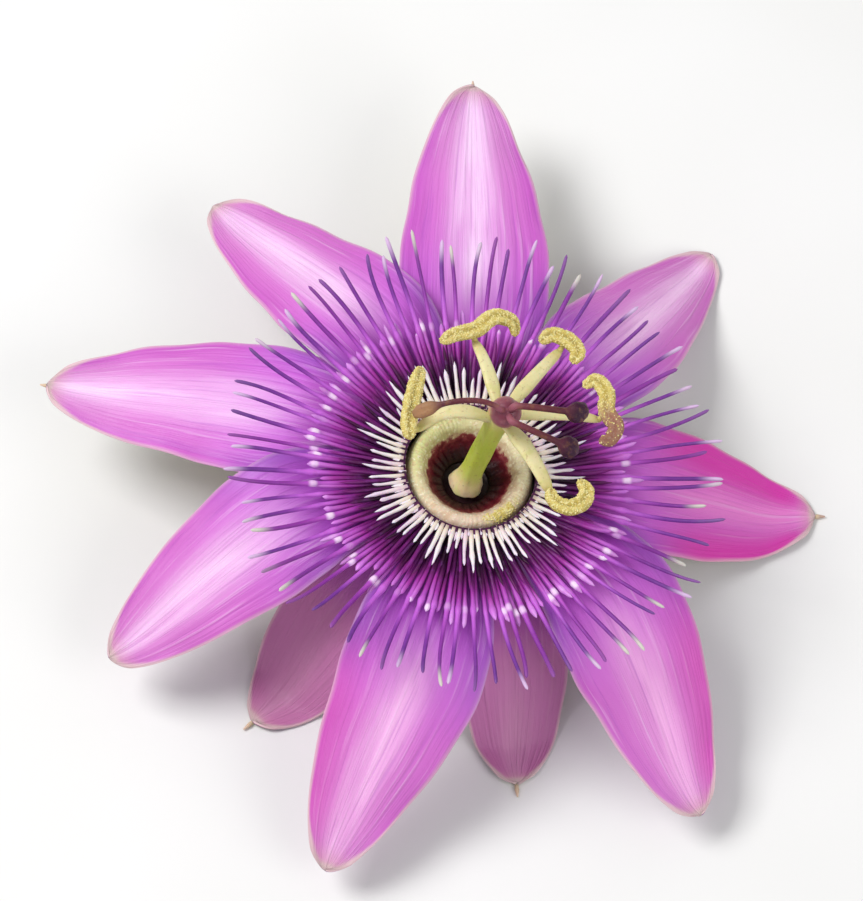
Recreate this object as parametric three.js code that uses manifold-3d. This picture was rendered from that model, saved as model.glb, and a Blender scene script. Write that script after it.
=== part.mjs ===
// A single passion flower, picked with a short stalk and laid face up.
// Millimetres, +Z up, the surface that it lies on at z = 0, the origin under the middle of its box.
// The bloom has a frame of its own: its plane holds the rim of the calyx, its axis is the bloom's,
// and it leans a little to +X. Azimuths run anticlockwise in that plane, from +X.
import * as THREE from 'three';
import Module from 'manifold-3d';

const manifold = await Module();
manifold.setup();

// ---- driving dimensions --------------------------------------------------------------------
const GAP = 0.3; // between pieces that touch
const TOUCH = 0.08;
const BLOOM_CENTRE = new THREE.Vector3(5.21, -4.84, 20);
const BLOOM_LEAN = 8; // degrees, towards +X

const BLADE_THICKNESS = 0.7;
const BLADE_ROOT_RADIUS = 10.3; // where sepals and petals leave the calyx rim
const SEPAL_LEVEL = -1.3; // middle of the blade at its root, above the bloom's plane
const PETAL_LEVEL = -0.15;
const SEPAL_DIP = 0.8; // how much deeper the sepals run where petals lie over them
const AWN_LENGTH = 3.6;
const AWN_RADIUS = 0.55;

// root and tip azimuth in degrees, reach from the axis, drop of the tip, greatest half width
const SEPALS = [
  { root: 83, tip: 89.6, reach: 57.5, drop: 3.6, half: 9.3 },
  { root: 156, tip: 164, reach: 55.5, drop: 11.2, half: 9.2 },
  { root: 225, tip: 224.4, reach: 37.5, drop: 27.0, half: 8.0 },
  { root: 292, tip: 285, reach: 37.0, drop: 22.0, half: 7.6 },
  { root: 7, tip: 3.1, reach: 46.5, drop: 14.6, half: 8.8 },
];
const PETALS = [
  { root: 119, tip: 127.1, reach: 52.5, drop: 12.5, half: 8.6 },
  { root: 193, tip: 205, reach: 49.0, drop: 18.0, half: 8.8 },
  { root: 257, tip: 251.3, reach: 51.6, drop: 17.2, half: 9.1 },
  { root: 323, tip: 307.6, reach: 51.4, drop: 10.6, half: 9.1 },
  { root: 46, tip: 50.3, reach: 52.6, drop: 17.6, half: 8.0 },
];

const CORONA_SEAT = -2.0 + GAP; // the calyx rim's flat top is at -2
const LONG_FILAMENTS = { count: 66, root: 9.2, reach: 30.8, level: 0.6, rise: 4.2, radius: 0.42 };
const SHORT_FILAMENTS = { count: 44, root: 9.0, reach: 14.2, level: 1.85, rise: 1.7, radius: 0.3 };

const COLUMN_FOOT = -2.9; // on the floor of the calyx, clear of it as the column leans
const COLUMN_LENGTH = 17.5;
const COLUMN_LEAN = { azimuth: 48, angle: 10.5 }; // degrees, on top of the bloom's lean
const OVARY_HEIGHT = 4.3;
const OVARY_RADIUS = 2.0;
const OVARY_NOD = { azimuth: 257, angle: 34 }; // degrees, away from the column's axis

// Azimuth and length of each stamen's filament, how far it bows sideways, and points along the
// middle of its anther, in the column's frame.
const STAMENS = [
  {
    azimuth: 103,
    length: 11.9,
    bow: 0,
    anther: [
      [-7.4, 10, 16.2],
      [-5.9, 10.8, 17],
      [-2.9, 12.1, 17],
      [-0.5, 13.9, 17.7],
      [1.9, 13.6, 17.3],
      [2.4, 12.2, 16.3],
    ],
  },
  {
    azimuth: 53.5,
    length: 14.6,
    bow: 0,
    anther: [
      [5.6, 11.8, 16.3],
      [7.1, 12.8, 16.8],
      [9.2, 12.3, 16.85],
      [10.4, 10.7, 16.9],
      [9.7, 9.2, 16.4],
    ],
  },
  {
    azimuth: 8,
    length: 13.6,
    bow: 0,
    anther: [
      [11.1, 6, 16.1],
      [12.6, 6.7, 16.9],
      [13.8, 5, 17.1],
      [13.9, 2.2, 16.85],
      [14.9, 0.2, 16.9],
      [14.3, -1.4, 16.3],
      [12.9, -1.5, 15.8],
    ],
  },
  {
    azimuth: -56.5,
    length: 11.6,
    bow: 0,
    anther: [
      [9.8, -8, 16.5],
      [10.6, -9.9, 17],
      [9.7, -11.9, 17.2],
      [7.8, -12.7, 17.2],
      [6.2, -11.6, 16.95],
      [6, -10, 16.8],
    ],
  },
  {
    azimuth: 195.7,
    length: 11.1,
    bow: 2.6,
    anther: [
      [-9.8, 6.2, 15.9],
      [-10.9, 2.9, 17],
      [-11.8, -1, 17.5],
      [-12.1, -4, 17.2],
      [-11.2, -6.1, 16.3],
    ],
  },
];
// length of each style, and its azimuth at its root, at two places on its way and at its tip
const STYLES = [
  { length: 9.8, azimuths: [160, 150, 168, 181] },
  { length: 8.3, azimuths: [45, 18, 6, 4] },
  { length: 8.3, azimuths: [-60, -34, -26, -24] },
];

const BRACT = { root: 1.65, reach: 17.5, half: 6.4, level: -10.45, rise: 1.9 };
const BRACT_AZIMUTHS = [15, 135, 255];

const STALK_RADIUS = 1.3;
const STALK_AZIMUTH = 155;
const STALK_REACH = 41;
const STALK_SIDES = 8;

// ---- geometry helpers ----------------------------------------------------------------------
const radians = (degrees) => THREE.MathUtils.degToRad(degrees);
const bloomTurn = new THREE.Matrix4().makeRotationY(radians(BLOOM_LEAN));
const bloomFrame = bloomTurn.clone().setPosition(BLOOM_CENTRE);

function fromAxis(radius, azimuth, level) {
  const angle = radians(azimuth);
  return new THREE.Vector3(radius * Math.cos(angle), radius * Math.sin(angle), level);
}

// A skin over rings of points with equal counts, closed by a strip at each end. The two halves of
// a ring are split into triangles alike, so a thin waved blade never crosses itself.
function loft(rings) {
  const count = rings[0].length;
  const half = count / 2;
  const points = rings.flat();
  const index = [];
  for (let i = 0; i < rings.length - 1; i += 1) {
    for (let j = 0; j < count; j += 1) {
      const a = i * count + j;
      const b = i * count + ((j + 1) % count);
      const c = b + count;
      const d = a + count;
      if (j < half) {
        index.push(a, b, c, a, c, d);
      } else {
        index.push(a, b, d, b, c, d);
      }
    }
  }
  const last = (rings.length - 1) * count;
  for (let j = 0; j < half - 1; j += 1) {
    const k = count - 1 - j;
    index.push(j, k, k - 1, j, k - 1, j + 1);
    index.push(last + j, last + k - 1, last + k, last + j, last + j + 1, last + k - 1);
  }
  const geometry = new THREE.BufferGeometry().setFromPoints(points);
  geometry.setIndex(index);
  return turnedOut(geometry);
}

function signedVolume(geometry) {
  const position = geometry.getAttribute('position');
  const index = geometry.getIndex();
  const corner = [0, 1, 2].map(() => new THREE.Vector3());
  let volume = 0;
  for (let i = 0; i < index.count; i += 3) {
    corner.forEach((point, k) => point.fromBufferAttribute(position, index.getX(i + k)));
    volume += corner[0].dot(corner[1].clone().cross(corner[2])) / 6;
  }
  return volume;
}

function turnedOut(geometry) {
  if (signedVolume(geometry) < 0) {
    const order = Array.from(geometry.getIndex().array);
    geometry.setIndex(order.reverse());
  }
  return geometry;
}

// A tube of elliptic section along a curve; shape(t) gives its half width and half height.
function sweep(curve, steps, sides, shape, up = new THREE.Vector3(0, 0, 1)) {
  const rings = [];
  for (let i = 0; i <= steps; i += 1) {
    const t = i / steps;
    const centre = curve.getPoint(t);
    const along = curve.getTangent(t);
    const side = up.clone().cross(along).normalize();
    const rise = along.clone().cross(side).normalize();
    const [wide, high] = shape(t);
    const ring = [];
    for (let j = 0; j < sides; j += 1) {
      const angle = (2 * Math.PI * (j + 0.5)) / sides;
      const point = centre.clone().addScaledVector(side, wide * Math.cos(angle));
      ring.push(point.addScaledVector(rise, high * Math.sin(angle)));
    }
    rings.push(ring);
  }
  return loft(rings);
}

// A turned piece, whose profile of radius and level starts and ends on the axis, or closes on
// itself. A point on the axis is used once.
function turned(profile, sides, closed) {
  const points = [];
  const number = new Map();
  const indexOf = (i, j) => {
    const [radius, level] = profile[j];
    const key = radius === 0 ? `axis_${j}` : `${i % sides}_${j}`;
    if (!number.has(key)) {
      number.set(key, points.length);
      points.push(fromAxis(radius, (360 * i) / sides, level));
    }
    return number.get(key);
  };
  const index = [];
  const spans = closed ? profile.length : profile.length - 1;
  for (let i = 0; i < sides; i += 1) {
    for (let j = 0; j < spans; j += 1) {
      const next = (j + 1) % profile.length;
      const corners = [indexOf(i, j), indexOf(i + 1, j), indexOf(i + 1, next), indexOf(i, next)];
      const [a, b, c, d] = corners;
      if (a !== b) {
        index.push(a, b, c);
      }
      if (c !== d) {
        index.push(a, c, d);
      }
    }
  }
  const geometry = new THREE.BufferGeometry().setFromPoints(points);
  geometry.setIndex(index);
  return turnedOut(geometry);
}

// Whatever comes as near to the surface as TOUCH lies flat on it.
function laidFlat(geometry) {
  const position = geometry.getAttribute('position');
  for (let i = 0; i < position.count; i += 1) {
    if (position.getZ(i) < TOUCH) {
      position.setZ(i, 0);
    }
  }
  return geometry;
}

function toSolid(geometry) {
  const mesh = new manifold.Mesh({
    numProp: 3,
    vertProperties: new Float32Array(geometry.getAttribute('position').array),
    triVerts: new Uint32Array(geometry.getIndex().array),
  });
  return new manifold.Manifold(mesh);
}

function fused(geometries) {
  const solid = geometries.map(toSolid).reduce((whole, part) => whole.add(part));
  const mesh = solid.getMesh();
  const geometry = new THREE.BufferGeometry();
  geometry.setAttribute('position', new THREE.BufferAttribute(mesh.vertProperties, 3));
  geometry.setIndex(new THREE.BufferAttribute(mesh.triVerts, 1));
  return geometry;
}

// Repeatable scatter: the same number from -1 to 1 for the same place in a row.
function scatter(place, row) {
  const wave = Math.sin(place * 12.9898 + row * 78.233) * 43758.5453;
  return 2 * (wave - Math.floor(wave)) - 1;
}

// ---- materials -----------------------------------------------------------------------------
const finish = (color, roughness) => new THREE.MeshStandardMaterial({ color, roughness, metalness: 0 });
const COLOURS = {
  petal: () => finish(0xd884d8, 0.5),
  sepal: () => finish(0xc76cc4, 0.5),
  longFilaments: () => finish(0x4a2a8c, 0.55),
  shortFilaments: () => finish(0xf4e6ea, 0.55),
  nectary: () => finish(0xe3d2ae, 0.5),
  green: () => finish(0x9fb04a, 0.55),
  bract: () => finish(0x8fae3c, 0.6),
  stamen: () => finish(0xc2c85a, 0.5),
  anther: () => finish(0xd6c65a, 0.75),
  style: () => finish(0x5b2340, 0.5),
};

const flower = new THREE.Group();
const bloom = new THREE.Group(); // leaned about the bloom's centre
bloom.position.copy(BLOOM_CENTRE);
bloom.rotation.y = radians(BLOOM_LEAN);
flower.add(bloom);

function place(group, name, geometry, material) {
  const mesh = new THREE.Mesh(geometry, material);
  mesh.name = name;
  group.add(mesh);
  return mesh;
}

// ---- sepals and petals ---------------------------------------------------------------------
const BLADE_STATIONS = 11;
const BLADE_COLUMNS = 4;
const TIP_HALF_WIDTH = 0.9;

// Share of the drop that a blade has made at t: level at first, then a soft knee, then straight.
function kneeDrop(t, knee, softness) {
  const bend = (x) => x - knee + Math.hypot(x - knee, softness);
  return (bend(t) - bend(0)) / (bend(1) - bend(0));
}

// Half width as a share of the greatest: half as wide at the root, blunt at the tip.
function bladeOutline(t) {
  const spread = 0.52 + 0.48 * Math.sin((Math.PI / 2) * Math.min(1, t / 0.48));
  return (spread * (1 - t ** 3) ** 0.6) / 0.94;
}

function bladeMidrib(blade, level, knee, softness, dip) {
  return (t) => {
    const sweepShare = t * t * (3 - 2 * t);
    const azimuth = blade.root + (blade.tip - blade.root) * sweepShare;
    const radius = BLADE_ROOT_RADIUS + (blade.reach - BLADE_ROOT_RADIUS) * t;
    const under = dip * THREE.MathUtils.smoothstep(radius, BLADE_ROOT_RADIUS, 19);
    const height = level - under - blade.drop * kneeDrop(t, knee, softness);
    const point = fromAxis(radius, azimuth, height).applyMatrix4(bloomFrame);
    point.z = Math.max(point.z, BLADE_THICKNESS / 2);
    return point;
  };
}

function blade(spec, midrib, arch) {
  const axis = new THREE.Vector3(0, 0, 1).transformDirection(bloomTurn);
  const rings = [];
  for (let i = 0; i <= BLADE_STATIONS; i += 1) {
    const t = i / BLADE_STATIONS;
    const centre = midrib(t);
    const along = midrib(Math.min(1, t + 0.02)).sub(midrib(Math.max(0, t - 0.02))).normalize();
    const side = axis.clone().cross(along).normalize();
    const normal = along.clone().cross(side).normalize();
    const half = Math.max(TIP_HALF_WIDTH, spec.half * bladeOutline(t));
    const top = [];
    const bottom = [];
    for (let j = 0; j <= BLADE_COLUMNS; j += 1) {
      const across = (2 * j) / BLADE_COLUMNS - 1;
      const sag = -arch * half * across * across * THREE.MathUtils.smoothstep(t, 0.2, 0.6);
      const middle = centre.clone().addScaledVector(side, half * across).addScaledVector(normal, sag);
      const under = middle.clone().addScaledVector(normal, -BLADE_THICKNESS / 2);
      const over = middle.clone().addScaledVector(normal, BLADE_THICKNESS / 2);
      if (under.z < TOUCH) {
        under.z = 0;
        over.z = Math.max(over.z, BLADE_THICKNESS * 0.9);
      }
      top.push(over);
      bottom.unshift(under);
    }
    rings.push([...top, ...bottom]);
  }
  return loft(rings);
}

function awn(midrib) {
  const foot = midrib(0.955);
  const along = midrib(1).sub(midrib(0.9)).normalize();
  const tip = foot.clone().addScaledVector(along, AWN_LENGTH).add(new THREE.Vector3(0, 0, 0.1));
  tip.z = Math.max(tip.z, AWN_RADIUS);
  foot.z = Math.max(foot.z, AWN_RADIUS + 0.05);
  const curve = new THREE.LineCurve3(foot, tip);
  return sweep(curve, 2, 6, (t) => [AWN_RADIUS * (1 - 0.6 * t), AWN_RADIUS * (1 - 0.6 * t)]);
}

SEPALS.forEach((spec, i) => {
  const midrib = bladeMidrib(spec, SEPAL_LEVEL, 0.15, 0.12, SEPAL_DIP);
  const geometry = fused([blade(spec, midrib, 0.08), awn(midrib)]);
  place(flower, `sepal_${i + 1}`, geometry, COLOURS.sepal());
});
PETALS.forEach((spec, i) => {
  const midrib = bladeMidrib(spec, PETAL_LEVEL, 0.35, 0.08, 0);
  place(flower, `petal_${i + 1}`, blade(spec, midrib, 0.1), COLOURS.petal());
});

// ---- calyx cup -----------------------------------------------------------------------------
const CALYX_FOOT = -9.5;
const calyxProfile = [
  [0, CALYX_FOOT],
  [1.9, CALYX_FOOT],
  [3.4, -9.3],
  [7.0, -8.0],
  [9.6, -5.4],
  [10.8, -3.2],
  [11.0, -2.0],
  [5.4, -2.0],
  [2.9, -3.6],
  [0, -3.6],
];
place(bloom, 'calyx_cup', turned(calyxProfile, 24, false), COLOURS.green());

// ---- corona --------------------------------------------------------------------------------
const NEEDLE_BEND = 0.55; // where a needle's middle ring sits

function needle(row, i, rowNumber) {
  const azimuth = (360 * (i + 0.2 * scatter(i, rowNumber))) / row.count;
  const reach = row.reach * (1 + 0.03 * scatter(i, rowNumber + 1));
  const lift = row.rise * (1 + 0.2 * scatter(i, rowNumber + 2));
  const drift = 1.2 * scatter(i, rowNumber + 3);
  const root = fromAxis(row.root, azimuth, row.level);
  const middleRadius = row.root + (reach - row.root) * NEEDLE_BEND;
  const middle = fromAxis(middleRadius, azimuth, row.level + 0.42 * lift);
  const tip = fromAxis(reach, azimuth + drift, row.level + lift);
  const rings = [[root, 1], [middle, 0.85], [tip, 0.35]].map(([centre, share]) => {
    const across = fromAxis(1, azimuth + 90, 0);
    return [0, 1, 2, 3].map((corner) => {
      const angle = (Math.PI / 2) * corner;
      const point = centre.clone().addScaledVector(across, share * row.radius * Math.cos(angle));
      point.z += share * row.radius * Math.sin(angle);
      return point;
    });
  });
  return loft(rings);
}

function coronaRow(row, rowNumber, ringProfile) {
  const ring = turned(ringProfile, 36, true);
  const needles = [];
  for (let i = 0; i < row.count; i += 1) {
    needles.push(needle(row, i, rowNumber));
  }
  return fused([ring, ...needles]);
}

const outerRing = [[8.4, CORONA_SEAT], [9.9, CORONA_SEAT], [9.9, 0.9], [9.5, 1.15], [8.4, 1.15]];
place(bloom, 'corona_outer', coronaRow(LONG_FILAMENTS, 1, outerRing), COLOURS.longFilaments());

const innerSeat = 1.15 + GAP;
const innerRing = [[8.4, innerSeat], [9.5, innerSeat], [9.5, 1.95], [9.1, 2.2], [8.4, 2.2]];
place(bloom, 'corona_inner', coronaRow(SHORT_FILAMENTS, 9, innerRing), COLOURS.shortFilaments());

// ---- nectary: the pale ring and the dark membrane inside it, grown as one ---------------------
const nectaryProfile = [
  [8.1, CORONA_SEAT],
  [8.1, 0.5],
  [7.7, 1.2],
  [6.9, 1.55],
  [6.1, 1.2],
  [5.5, 0.3],
  [4.6, -1.0],
  [3.0, -2.4],
  [3.0, -3.15],
  [5.3, CORONA_SEAT],
];
place(bloom, 'nectary', turned(nectaryProfile, 28, true), COLOURS.nectary());

// ---- column, ovary, stamens and styles -----------------------------------------------------
const pistil = new THREE.Group(); // leaned about the column's foot; its axis is the column's
pistil.position.set(0, 0, COLUMN_FOOT);
pistil.quaternion.setFromAxisAngle(
  fromAxis(1, COLUMN_LEAN.azimuth + 90, 0),
  radians(COLUMN_LEAN.angle),
);
bloom.add(pistil);

const COLUMN_TOP_RADIUS = 1.6;
const columnProfile = [
  [0, 0],
  [2.2, 0],
  [2.1, 0.6],
  [1.7, 1.9],
  [1.45, 4.0],
  [1.4, 13.5],
  [COLUMN_TOP_RADIUS, 16.0],
  [COLUMN_TOP_RADIUS, COLUMN_LENGTH],
  [0, COLUMN_LENGTH],
];
place(pistil, 'column', turned(columnProfile, 12, false), COLOURS.green());

const crown = new THREE.Group(); // ovary and styles, nodding from the column's top
crown.position.set(0, 0, COLUMN_LENGTH);
crown.quaternion.setFromAxisAngle(
  fromAxis(1, OVARY_NOD.azimuth + 90, 0),
  radians(OVARY_NOD.angle),
);
pistil.add(crown);

const OVARY_FOOT = 0.9; // its round foot nods clear of the column's edge
const ovaryProfile = [[0, OVARY_FOOT]];
for (let i = 1; i < 6; i += 1) {
  const angle = (Math.PI * i) / 6;
  const radius = OVARY_RADIUS * Math.sin(angle) ** 0.8;
  ovaryProfile.push([radius, OVARY_FOOT + (OVARY_HEIGHT * (1 - Math.cos(angle))) / 2]);
}
ovaryProfile.push([0, OVARY_FOOT + OVARY_HEIGHT]);
place(crown, 'ovary', turned(ovaryProfile, 12, false), COLOURS.green());

// A filament leaves the column's top level, arches over and ends a little lower than its root.
const STAMEN_ROOT = COLUMN_TOP_RADIUS + GAP;
const STAMEN_LEVEL = COLUMN_LENGTH - 0.9;
const STAMEN_DROP = 1.3;
const ANTHER_HALF_WIDTH = 0.9;
const ANTHER_HALF_HEIGHT = 0.72;

STAMENS.forEach((spec, i) => {
  const bowed = fromAxis(0.6 * spec.length, spec.azimuth, STAMEN_LEVEL + 1.0);
  bowed.add(fromAxis(spec.bow, spec.azimuth - 90, 0));
  const curve = new THREE.QuadraticBezierCurve3(
    fromAxis(STAMEN_ROOT, spec.azimuth, STAMEN_LEVEL),
    bowed,
    fromAxis(spec.length, spec.azimuth, STAMEN_LEVEL - STAMEN_DROP),
  );
  const filament = sweep(curve, 7, 6, (t) => {
    const beyondRoot = THREE.MathUtils.smoothstep(t, 0, 0.3); // narrow where its neighbours are near
    return [0.6 + 0.42 * beyondRoot - 0.42 * t, 0.6 - 0.15 * t];
  });
  place(pistil, `stamen_${i + 1}`, filament, COLOURS.stamen());

  const path = new THREE.CatmullRomCurve3(spec.anther.map((point) => new THREE.Vector3(...point)));
  const anther = sweep(path, 10, 6, (t) => {
    const swell = 0.45 + 0.55 * Math.sin(Math.PI * t) ** 0.5;
    return [ANTHER_HALF_WIDTH * swell, ANTHER_HALF_HEIGHT * swell];
  });
  place(pistil, `anther_${i + 1}`, anther, COLOURS.anther());
});

// A style leaves the ovary's top, arches out and down, and swells into its stigma.
const STYLE_LEVEL = OVARY_FOOT + OVARY_HEIGHT + GAP + 0.35;
STYLES.forEach((spec, i) => {
  const radii = [1.25, 0.4 * spec.length, 0.8 * spec.length, spec.length + 1.6];
  const rises = [-0.2, 0.9, 0.4, -2.2];
  const pulls = radii.map((radius, k) => fromAxis(radius, spec.azimuths[k], STYLE_LEVEL + rises[k]));
  const style = sweep(new THREE.CubicBezierCurve3(...pulls), 9, 6, (t) => {
    const knob = THREE.MathUtils.smoothstep(t, 0.72, 0.86) * (t > 0.99 ? 0.35 : 1);
    return [0.45 + 0.95 * knob, 0.45 + 0.65 * knob];
  });
  place(crown, `style_${i + 1}`, style, COLOURS.style());
});

// ---- bracts --------------------------------------------------------------------------------
const BRACT_STATIONS = 7;
const BRACT_COLUMNS = 4;

function bract(azimuth) {
  const outward = fromAxis(1, azimuth, 0);
  const across = fromAxis(1, azimuth + 90, 0);
  const rings = [];
  for (let i = 0; i <= BRACT_STATIONS; i += 1) {
    const t = i / BRACT_STATIONS;
    const half = BRACT.half * Math.max(0.12, Math.sin(Math.PI * (0.1 + 0.9 * t ** 0.8)) ** 0.9);
    const radius = BRACT.root + (BRACT.reach - BRACT.root) * t;
    const top = [];
    const bottom = [];
    for (let j = 0; j <= BRACT_COLUMNS; j += 1) {
      const v = (2 * j) / BRACT_COLUMNS - 1;
      const cupped = 0.14 * half * v * v;
      const middle = outward.clone().multiplyScalar(radius).addScaledVector(across, half * v);
      middle.z = BRACT.level + BRACT.rise * t * t + cupped * t;
      const lift = new THREE.Vector3(0, 0, BLADE_THICKNESS / 2);
      top.push(middle.clone().add(lift));
      bottom.unshift(middle.clone().sub(lift));
    }
    rings.push([...top, ...bottom]);
  }
  return loft(rings);
}

BRACT_AZIMUTHS.forEach((azimuth, i) => {
  place(bloom, `bract_${i + 1}`, bract(azimuth), COLOURS.bract());
});

// ---- stalk ---------------------------------------------------------------------------------
const stalkTop = new THREE.Vector3(0, 0, CALYX_FOOT - GAP).applyMatrix4(bloomFrame);
const stalkDown = new THREE.Vector3(0, 0, -1).transformDirection(bloomTurn);
const stalkOut = fromAxis(1, STALK_AZIMUTH, 0);
const stalkAcross = fromAxis(1, STALK_AZIMUTH + 90, 0);

function alongSurface(distance, sideways) {
  const lowest = STALK_RADIUS * Math.cos(Math.PI / STALK_SIDES); // it lies on one of its flats
  const point = new THREE.Vector3(stalkTop.x, stalkTop.y, lowest);
  point.addScaledVector(stalkOut, distance);
  return point.addScaledVector(stalkAcross, sideways);
}

const stalkPath = new THREE.CatmullRomCurve3([
  stalkTop,
  stalkTop.clone().addScaledVector(stalkDown, 2.6),
  stalkTop.clone().addScaledVector(stalkDown, 5.4).addScaledVector(stalkOut, 1.2),
  alongSurface(5.4, 0).add(new THREE.Vector3(0, 0, 1.1)),
  alongSurface(9.5, 0),
  alongSurface(17, 0.5),
  alongSurface(26, 0.2),
  alongSurface(34, -0.6),
  alongSurface(STALK_REACH, -1.6),
]);
const stalk = sweep(stalkPath, 18, STALK_SIDES, () => [STALK_RADIUS, STALK_RADIUS], stalkAcross);
place(flower, 'stalk', laidFlat(stalk), COLOURS.green());

export default flower;
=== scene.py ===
"""A passion flower, picked with a short stalk and laid face up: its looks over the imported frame."""

import math

import bmesh
import bpy
import numpy as np
from mathutils import Matrix, Vector


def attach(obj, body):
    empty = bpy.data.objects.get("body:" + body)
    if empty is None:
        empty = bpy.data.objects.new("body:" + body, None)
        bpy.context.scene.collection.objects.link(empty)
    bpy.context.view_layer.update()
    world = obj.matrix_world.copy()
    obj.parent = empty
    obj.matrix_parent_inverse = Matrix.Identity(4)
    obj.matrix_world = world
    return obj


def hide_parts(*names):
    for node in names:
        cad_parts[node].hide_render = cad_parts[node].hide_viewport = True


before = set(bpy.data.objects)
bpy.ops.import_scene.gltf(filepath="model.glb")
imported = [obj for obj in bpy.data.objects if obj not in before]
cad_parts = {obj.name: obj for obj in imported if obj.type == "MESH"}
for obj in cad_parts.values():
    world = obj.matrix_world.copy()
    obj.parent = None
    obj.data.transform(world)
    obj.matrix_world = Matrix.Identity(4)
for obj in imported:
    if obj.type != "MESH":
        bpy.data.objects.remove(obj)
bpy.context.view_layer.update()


# ---- stalk ---------------------------------------------------------------------------------
# The stalk that carried the flower, cut short and laid along the surface. It is fleshy and green
# with faint ribs and dull purple patches, browner near the cut, and grows out of the calyx's foot.
# a millimetre and the distance at which corners are merged, in metres
MM = 0.001
MERGED = 2e-6
BLOOM_CENTRE = Vector((5.21, -4.84, 20.0))
BLOOM_LEAN = math.radians(8)
bloom_frame = Matrix.Translation(BLOOM_CENTRE) @ Matrix.Rotation(BLOOM_LEAN, 4, "Y")
CALYX_FOOT = -9.5
STALK_RADIUS = 1.3
STALK_AZIMUTH = 155
STALK_RIBS = 9
STALK_SIDES = 36
STALK_STEPS = 9
STALK_LOWEST = 0.02
# how large each ring of the cut end is, and how deep in the flesh
CUT_RINGS = ((0.97, 0.1), (0.8, 0.3), (0.5, 0.6), (0.2, 0.9))


def from_axis(radius, azimuth, level=0.0):
    """A point at this radius and azimuth round a flower's axis, in millimetres."""
    angle = math.radians(azimuth)
    return Vector((radius * math.cos(angle), radius * math.sin(angle), level))


def smooth_path(points, steps):
    """Points along a smooth curve that passes through the given ones, steps to each span."""
    knots = [Vector(p) for p in points]
    knots = [2 * knots[0] - knots[1]] + knots + [2 * knots[-1] - knots[-2]]
    path = []
    for p0, p1, p2, p3 in zip(knots, knots[1:], knots[2:], knots[3:]):
        t1 = (p1 - p0).length ** 0.5
        t2 = t1 + (p2 - p1).length ** 0.5
        t3 = t2 + (p3 - p2).length ** 0.5
        for step in range(steps):
            u = t1 + (t2 - t1) * step / steps
            a1 = p0.lerp(p1, u / t1)
            a2 = p1.lerp(p2, (u - t1) / (t2 - t1))
            a3 = p2.lerp(p3, (u - t2) / (t3 - t2))
            b1 = a1.lerp(a2, u / t2)
            b2 = a2.lerp(a3, (u - t1) / (t3 - t1))
            path.append(b1.lerp(b2, (u - t1) / (t2 - t1)))
    path.append(knots[-2])
    return path


def skin_over(rings, first=None, last=None, joined=False):
    """Corners and faces of a skin over rings of points. first and last are points that close its
    ends; joined runs it from the last ring back to the first."""
    rows, around = rings.shape[:2]
    corners = [tuple(p) for p in rings.reshape(-1, 3)]
    faces = []
    for row in range(rows if joined else rows - 1):
        here = row * around
        there = ((row + 1) % rows) * around
        for k in range(around):
            ahead = (k + 1) % around
            faces.append((here + k, here + ahead, there + ahead, there + k))
    for pole, row, turn in ((first, 0, -1), (last, rows - 1, 1)):
        if pole is None:
            continue
        corners.append(tuple(pole))
        for k in range(around):
            edge = (row * around + k, row * around + (k + 1) % around)
            faces.append((*edge[::turn], len(corners) - 1))
    return corners, faces


def swept_rings(centres, section, sides, up=(0, 0, 1), **sizes):
    """Rings round a path; section(share, angle) gives how far sideways and how far up they reach."""
    centres = np.array([tuple(c) for c in centres], float)
    share = np.linspace(0, 1, len(centres))[:, None]
    angle = (2 * np.pi * np.arange(sides) / sides)[None, :]
    along = np.gradient(centres, axis=0)
    along /= np.linalg.norm(along, axis=1, keepdims=True)
    side = np.cross(np.array(up, float), along)
    for step in range(1, len(side)):
        side[step] = side[step - 1] - along[step] * side[step - 1].dot(along[step])
    side /= np.linalg.norm(side, axis=1, keepdims=True)
    rise = np.cross(along, side)
    wide, high = section(share, angle, **sizes)
    return centres[:, None] + side[:, None] * wide[..., None] + rise[:, None] * high[..., None]


def placed(name, data):
    """A new object in the scene, at its origin."""
    made = bpy.data.objects.new(name, data)
    bpy.context.collection.objects.link(made)
    return made


def plant_mesh(name, corners, faces, readings):
    """A mesh from corners in millimetres. Each reading gives them a number; any past its end get 0."""
    mesh = bpy.data.meshes.new(name)
    mesh.from_pydata([(x * MM, y * MM, z * MM) for x, y, z in corners], [], faces)
    for reading_name, numbers in readings.items():
        numbers = np.concatenate([np.ravel(numbers), np.zeros(len(corners))])[: len(corners)]
        layer = mesh.attributes.new(reading_name, "FLOAT", "POINT")
        layer.data.foreach_set("value", numbers.astype(np.float32))
    return mesh


def plant_piece(name, corners, faces, finish, **readings):
    """A smooth closed piece with one finish."""
    mesh = plant_mesh(name, corners, faces, readings)
    shell = bmesh.new()
    shell.from_mesh(mesh)
    bmesh.ops.remove_doubles(shell, verts=shell.verts, dist=MERGED)
    bmesh.ops.recalc_face_normals(shell, faces=shell.faces)
    shell.to_mesh(mesh)
    shell.free()
    mesh.shade_smooth()
    mesh.materials.append(finish)
    return placed(name, mesh)


def colour(red, green, blue):
    """A colour of 0 to 255 as it shows on a screen, as the shader wants it."""
    shown = [c / 255 for c in (red, green, blue)]
    return (*[c / 12.92 if c <= 0.04045 else ((c + 0.055) / 1.055) ** 2.4 for c in shown], 1)


def add_node(tree, kind, inputs=None, **settings):
    """A node with its settings made and its inputs set or linked."""
    node = tree.nodes.new(kind)
    for setting, value in settings.items():
        setattr(node, setting, value)
    for socket, value in (inputs or {}).items():
        if isinstance(value, bpy.types.NodeSocket):
            tree.links.new(value, node.inputs[socket])
        else:
            node.inputs[socket].default_value = value
    return node


def worked(tree, operation, first, second=0.0):
    """The result of one sum."""
    return add_node(tree, "ShaderNodeMath", {0: first, 1: second}, operation=operation).outputs[0]


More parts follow.
